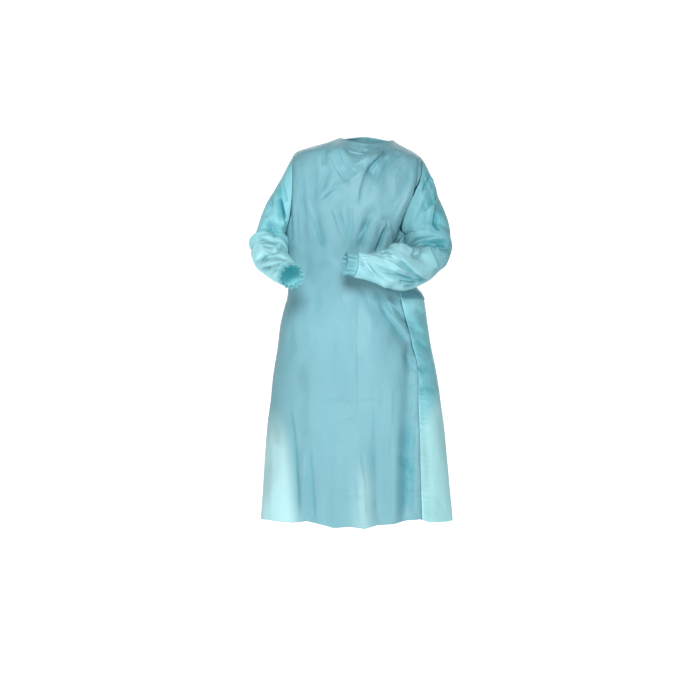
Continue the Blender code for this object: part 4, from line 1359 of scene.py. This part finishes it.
@dataclass
class Ties:
    """The waist ties, their knot and tails, and the tab at the neck, all on the back."""

    body: Body
    finish: bpy.types.Material
    width: float = 24.0
    wall: float = 1.0
    steps: int = 150
    across: int = 12
    narrows: float = 0.45           # the part of its width that a tie loses at the knot
    narrows_over: float = 0.25      # the part of its length over which it does
    knot_size: tuple[float, float, float] = (27.0, 12.0, 24.0)
    tail_lengths: tuple[tuple[Side, float], ...] = ((Side.LEFT, 262.0), (Side.RIGHT, 236.0))
    tail_spread: tuple[tuple[Side, float], ...] = ((Side.LEFT, 15.0), (Side.RIGHT, 19.0))   # degrees
    tail_top: float = 0.42          # width of a tail at the knot, as a part of a tie's width
    tab_size: tuple[float, float] = (70.0, 26.0)
    tab_middle: tuple[float, float] = (186.0, -32.0)    # its angle and height
    tab_lift: float = 1.0           # clear space under it
    pleat: float = 0.5              # height of the lengthwise pleats in a tie
    lap_from: float = 118.0         # angle at which the overlap of the back starts to lift a tie
    lap_over: float = 30.0          # and the degrees over which it does
    # The flat size of each strip in metres, and how it is held.
    cuts: dict[str, tuple[tuple[float, float], str]] = field(default_factory=lambda: {
        "waist_tie_left": ((0.39, 0.024), "stretched"),
        "waist_tie_right": ((0.23, 0.024), "stretched"),
        "tie_tail_left": ((0.024, 0.262), "hung"),
        "tie_tail_right": ((0.024, 0.236), "hung"),
        "neck_tab": ((0.07, 0.044), "laid"),
    })

    def lap_lift(self, angle: Array) -> Array:
        """Returns how far the outer face of the back is lifted where the panels overlap."""
        return self.body.LAP / 2 * ease((np.abs(angle) - self.lap_from) / self.lap_over)

    def strip(self, name: str, angle: Array, z: Array, lift: Array) -> bpy.types.Object:
        """Builds a flat strip on the cloth from the lift of its inner face."""
        points = self.body.point(angle, z, lift + self.wall, folded=False)
        return film_shell(name, points, False, self.finish, wall=self.wall)

    def waist_tie(self, side: Side) -> bpy.types.Object:
        """Builds a tie from the side seam round to the knot at the centre back."""
        waist = np.array(self.body.WAIST_Z)
        seams = table_at(self.body.edges, waist)
        start = (seams[0] if side is Side.LEFT else seams[1]) + side.value
        half = self.body.degrees_of(self.knot_size[0] / 2 + self.body.SEAM, np.array(180.0), waist)
        end = (180 - half) * side.value
        share = np.linspace(0, 1, self.steps + 1)[None, :]
        across = np.linspace(-0.5, 0.5, self.across + 1)[:, None]
        drawn_in = ease((share - 1 + self.narrows_over) / self.narrows_over)
        width = self.width * (1 - self.narrows * drawn_in)
        angle = start + (end - start) * share + across * 0
        z = self.body.WAIST_Z + width * across
        pleats = self.pleat * (1 + np.cos(2 * math.pi * 3 * across + 4 * share)) * (0.3 + drawn_in)
        lift = self.body.ON_CLOTH + self.lap_lift(angle) + pleats
        if side is Side.RIGHT:
            angle, z, lift = angle[:, ::-1], z[:, ::-1], lift[:, ::-1]
        return self.strip(f"waist_tie_{side.word}_film", angle, z, lift)

    def tail(self, side: Side) -> bpy.types.Object:
        """Builds the loose end of a tie, which hangs below the knot."""
        length, spread = dict(self.tail_lengths)[side], dict(self.tail_spread)[side]
        top = self.body.WAIST_Z - self.knot_size[2] / 2 - self.body.SEAM
        share = np.linspace(1, 0, self.steps + 1)[:, None]
        across = np.linspace(-1, 1, self.across + 1)[None, :]
        z = top - length * share
        width = self.width * (self.tail_top + (1 - self.tail_top) * ease(share / 0.3))
        back = np.full_like(z, 180.0)
        first = self.body.degrees_of(1.0, back, z) * (width / 2 + self.body.SEAM)
        middle = first + (spread - first) * share
        half = self.body.degrees_of(1.0, back, z) * width / 2
        angle = side.value * (180 - middle) + half * across
        heights = np.repeat(z, self.across + 1, axis=1)
        drawn_in = 1 - ease(share / 0.3)
        pleats = self.pleat * (1 + np.cos(math.pi * 3 * across + 5 * share)) * (0.4 + drawn_in)
        lift = self.body.ON_CLOTH + self.lap_lift(np.full_like(angle, 180.0)) + pleats
        return self.strip(f"tie_tail_{side.word}_film", angle, heights, lift)

    def knot(self) -> bpy.types.Object:
        """Builds the knot, a flattened ball of gathered film with a turn wrapped over it."""
        up = np.linspace(0, math.pi, 40)[:, None]
        turn = np.linspace(0, 2 * math.pi, 72, endpoint=False)[None, :]
        x = np.sin(up) * np.cos(turn)
        z = np.sin(up) * np.sin(turn)
        y = -np.cos(up) + 0 * turn
        lobes = 1 + 0.06 * np.cos(5 * turn) + 0.03 * np.cos(17 * turn + 6 * up)
        wrap = 0.10 * np.exp(-((x - 0.35 * z) / 0.22) ** 2)
        size = np.array(self.knot_size) / 2
        points = np.stack((x * (lobes + wrap), y * (1 + wrap), z * (lobes + wrap)), axis=-1) * size
        lift = self.lap_lift(np.array(180.0)) + self.body.ON_CLOTH + self.knot_size[1] / 2
        middle = self.body.point(np.array(180.0), np.array(self.body.WAIST_Z), lift)
        made = film_shell("waist_knot_film", (points + middle)[1:-1], True, self.finish, wall=self.wall)
        made.modifiers.clear()
        return made

    def neck_tab(self) -> bpy.types.Object:
        """Builds the tab that holds the two back panels together below the neckline."""
        angle, z = (np.array(value) for value in self.tab_middle)
        half = self.body.degrees_of(self.tab_size[0] / 2, angle, z)
        angles = angle + half * np.linspace(-1, 1, 41)[None, :]
        rows = z + self.tab_size[1] * np.linspace(-0.5, 0.5, 17)[:, None]
        angles, rows = np.broadcast_arrays(angles, rows)
        lift = np.full(angles.shape, self.tab_lift + self.body.LAP / 2)
        return self.strip("neck_tab_film", angles, rows, lift)

    def build(self) -> dict[str, bpy.types.Object]:
        """Builds every piece, by the name of the solid that it stands for."""
        made = {"waist_knot": self.knot(), "neck_tab": self.neck_tab()}
        for side in Side:
            made[f"waist_tie_{side.word}"] = self.waist_tie(side)
            made[f"tie_tail_{side.word}"] = self.tail(side)
        return made


# The studio


@dataclass(frozen=True)
class Softbox:
    """A square soft light, in metres and watts."""

    name: str
    place: tuple[float, float, float]
    aim: tuple[float, float, float]
    size: float
    power: float


@dataclass(frozen=True)
class Studio:
    """A pale floor that curves up behind the gown, soft lights, and the camera."""

    camera: tuple[float, float, float] = (-0.02, -4.4, -0.601)
    lens_mm: float = 79.4
    sensor_mm: float = 36.0
    floor_z: float = -1.46      # the floor under a gown that is worn standing
    floor_front: float = -7.0
    floor_half: float = 4.5
    wall_y: float = 3.2
    wall_top: float = 4.0
    bend: float = 1.2
    paper: str = "#f4f5f5"
    paper_glow: float = 0.40
    sky: float = 0.12
    softboxes: tuple[Softbox, ...] = (
        Softbox("key", (-0.2, -4.2, 1.2), (0, 0, -0.5), 1.4, 178),
        Softbox("side", (-2.7, -2.7, -0.2), (-0.2, 0, -0.4), 1.0, 30),
        Softbox("low_fill", (1.6, -3.4, -0.7), (0.15, 0, -0.7), 1.8, 14),
        Softbox("behind", (0.0, 2.2, 0.6), (0, 0, -0.8), 2.4, 40),
    )

    def camera_object(self) -> bpy.types.Object:
        """Makes the camera, level and looking along +Y."""
        data = bpy.data.cameras.new("camera")
        data.lens, data.sensor_width = self.lens_mm, self.sensor_mm
        made = bpy.data.objects.new("camera", data)
        made.location = self.camera
        made.rotation_euler = (math.radians(90), 0, 0)
        bpy.context.scene.collection.objects.link(made)
        bpy.context.scene.camera = made
        return made

    def paper_material(self) -> bpy.types.Material:
        """Matt white background paper."""
        made = bpy.data.materials.new("background_paper")
        made.use_nodes = True
        shader = made.node_tree.nodes["Principled BSDF"]
        shader.inputs["Base Color"].default_value = srgb(self.paper)
        shader.inputs["Roughness"].default_value = 0.9
        shader.inputs["Emission Color"].default_value = srgb(self.paper)
        shader.inputs["Emission Strength"].default_value = self.paper_glow
        return made

    def sweep(self) -> bpy.types.Object:
        """Makes the floor and the wall behind it as one curved sheet of paper."""
        bends = np.linspace(0, math.pi / 2, 17)
        ys = [self.floor_front, *(self.wall_y - self.bend + self.bend * np.sin(bends)), self.wall_y]
        zs = [self.floor_z, *(self.floor_z + self.bend * (1 - np.cos(bends))), self.wall_top]
        points = [(x, y, z) for y, z in zip(ys, zs) for x in (-self.floor_half, self.floor_half)]
        faces = [(2 * k, 2 * k + 1, 2 * k + 3, 2 * k + 2) for k in range(len(ys) - 1)]
        mesh = bpy.data.meshes.new("paper_sweep")
        mesh.from_pydata(points, [], faces)
        mesh.shade_smooth()
        mesh.materials.append(self.paper_material())
        made = bpy.data.objects.new("paper_sweep", mesh)
        bpy.context.scene.collection.objects.link(made)
        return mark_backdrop(made)

    def light(self, box: Softbox) -> None:
        """Adds a soft light that faces its aim."""
        data = bpy.data.lights.new(box.name, "AREA")
        data.size, data.energy = box.size, box.power
        made = bpy.data.objects.new(box.name, data)
        made.location = box.place
        made.rotation_euler = (Vector(box.aim) - Vector(box.place)).to_track_quat("-Z", "Y").to_euler()
        bpy.context.scene.collection.objects.link(made)

    def build(self) -> None:
        """Makes the camera, the paper, the lights and the sky."""
        self.camera_object()
        self.sweep()
        for box in self.softboxes:
            self.light(box)
        world = bpy.data.worlds.new("studio")
        world.use_nodes = True
        world.node_tree.nodes["Background"].inputs["Color"].default_value = (1, 1, 1, 1)
        world.node_tree.nodes["Background"].inputs["Strength"].default_value = self.sky
        bpy.context.scene.world = world
        bpy.context.scene.view_settings.view_transform = "Standard"


# The film's tint where it lies on what is under it, and its painted backlight tint, for where light
# comes through it. The tints differ on the front, the back and each sleeve as painted light and shade.
FRONT_TINTS = ("#79adb8", "#bee4e7")
BACK_TINTS = ("#8ccbd5", "#bcebee")
TIE_TINTS = ("#79bccb", "#79bccb")
SLEEVE_TINTS = {Side.LEFT: ("#76b3bd", "#afe4eb"), Side.RIGHT: ("#84c8d2", "#c4fafe")}


def place(piece: bpy.types.Object, node: str, slot: str) -> None:
    """Lets a piece stand for a solid and ride on the gown's body."""
    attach(piece, BODY)
    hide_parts(node)
    faces = len(piece.data.polygons)
    LOG.info("%s stands for %s, %d faces before its wall", piece.name, node, faces)


def main() -> None:
    """Builds the gown's pieces in order."""
    logging.basicConfig(level=logging.INFO, format="%(message)s")
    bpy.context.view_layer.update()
    Studio().build()
    body = Body()
    film = FilmFinish("polyethylene_film", *FRONT_TINTS).material()
    back_film = FilmFinish("polyethylene_film_back", *BACK_TINTS).material()
    tie_film = FilmFinish("polyethylene_film_tie", *TIE_TINTS, through=0.3).material()
    sewn = BodyPanels(body, film, back_film)
    panels = sewn.build()
    for piece, panel in zip(panels, Panel):
        place(piece, panel.value, "film")
    welds = SeamWelds(film)
    weld_tree = welds.tree()
    for side, (path, out) in sewn.seams.items():
        weld = welds.build(side, path, out, weld_tree)
        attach(weld, BODY)
        LOG.info("%s has %d faces", weld.name, len(weld.data.polygons))
    for side in Side:
        sleeve_film = FilmFinish(f"polyethylene_film_sleeve_{side.word}", *SLEEVE_TINTS[side]).material()
        sleeve = Sleeve(body, side, sleeve_film, **SLEEVE_SHAPES[side])
        piece = sleeve.build()
        place(piece, f"sleeve_{side.word}", "sleeve_film")
        cuff = Cuff(sleeve, sleeve_film).build()
        place(cuff, f"cuff_{side.word}", "cuff_film")
    ties = Ties(body, tie_film)
    for node, piece in ties.build().items():
        place(piece, node, "tie_film")


if __name__ == "__main__":
    main()
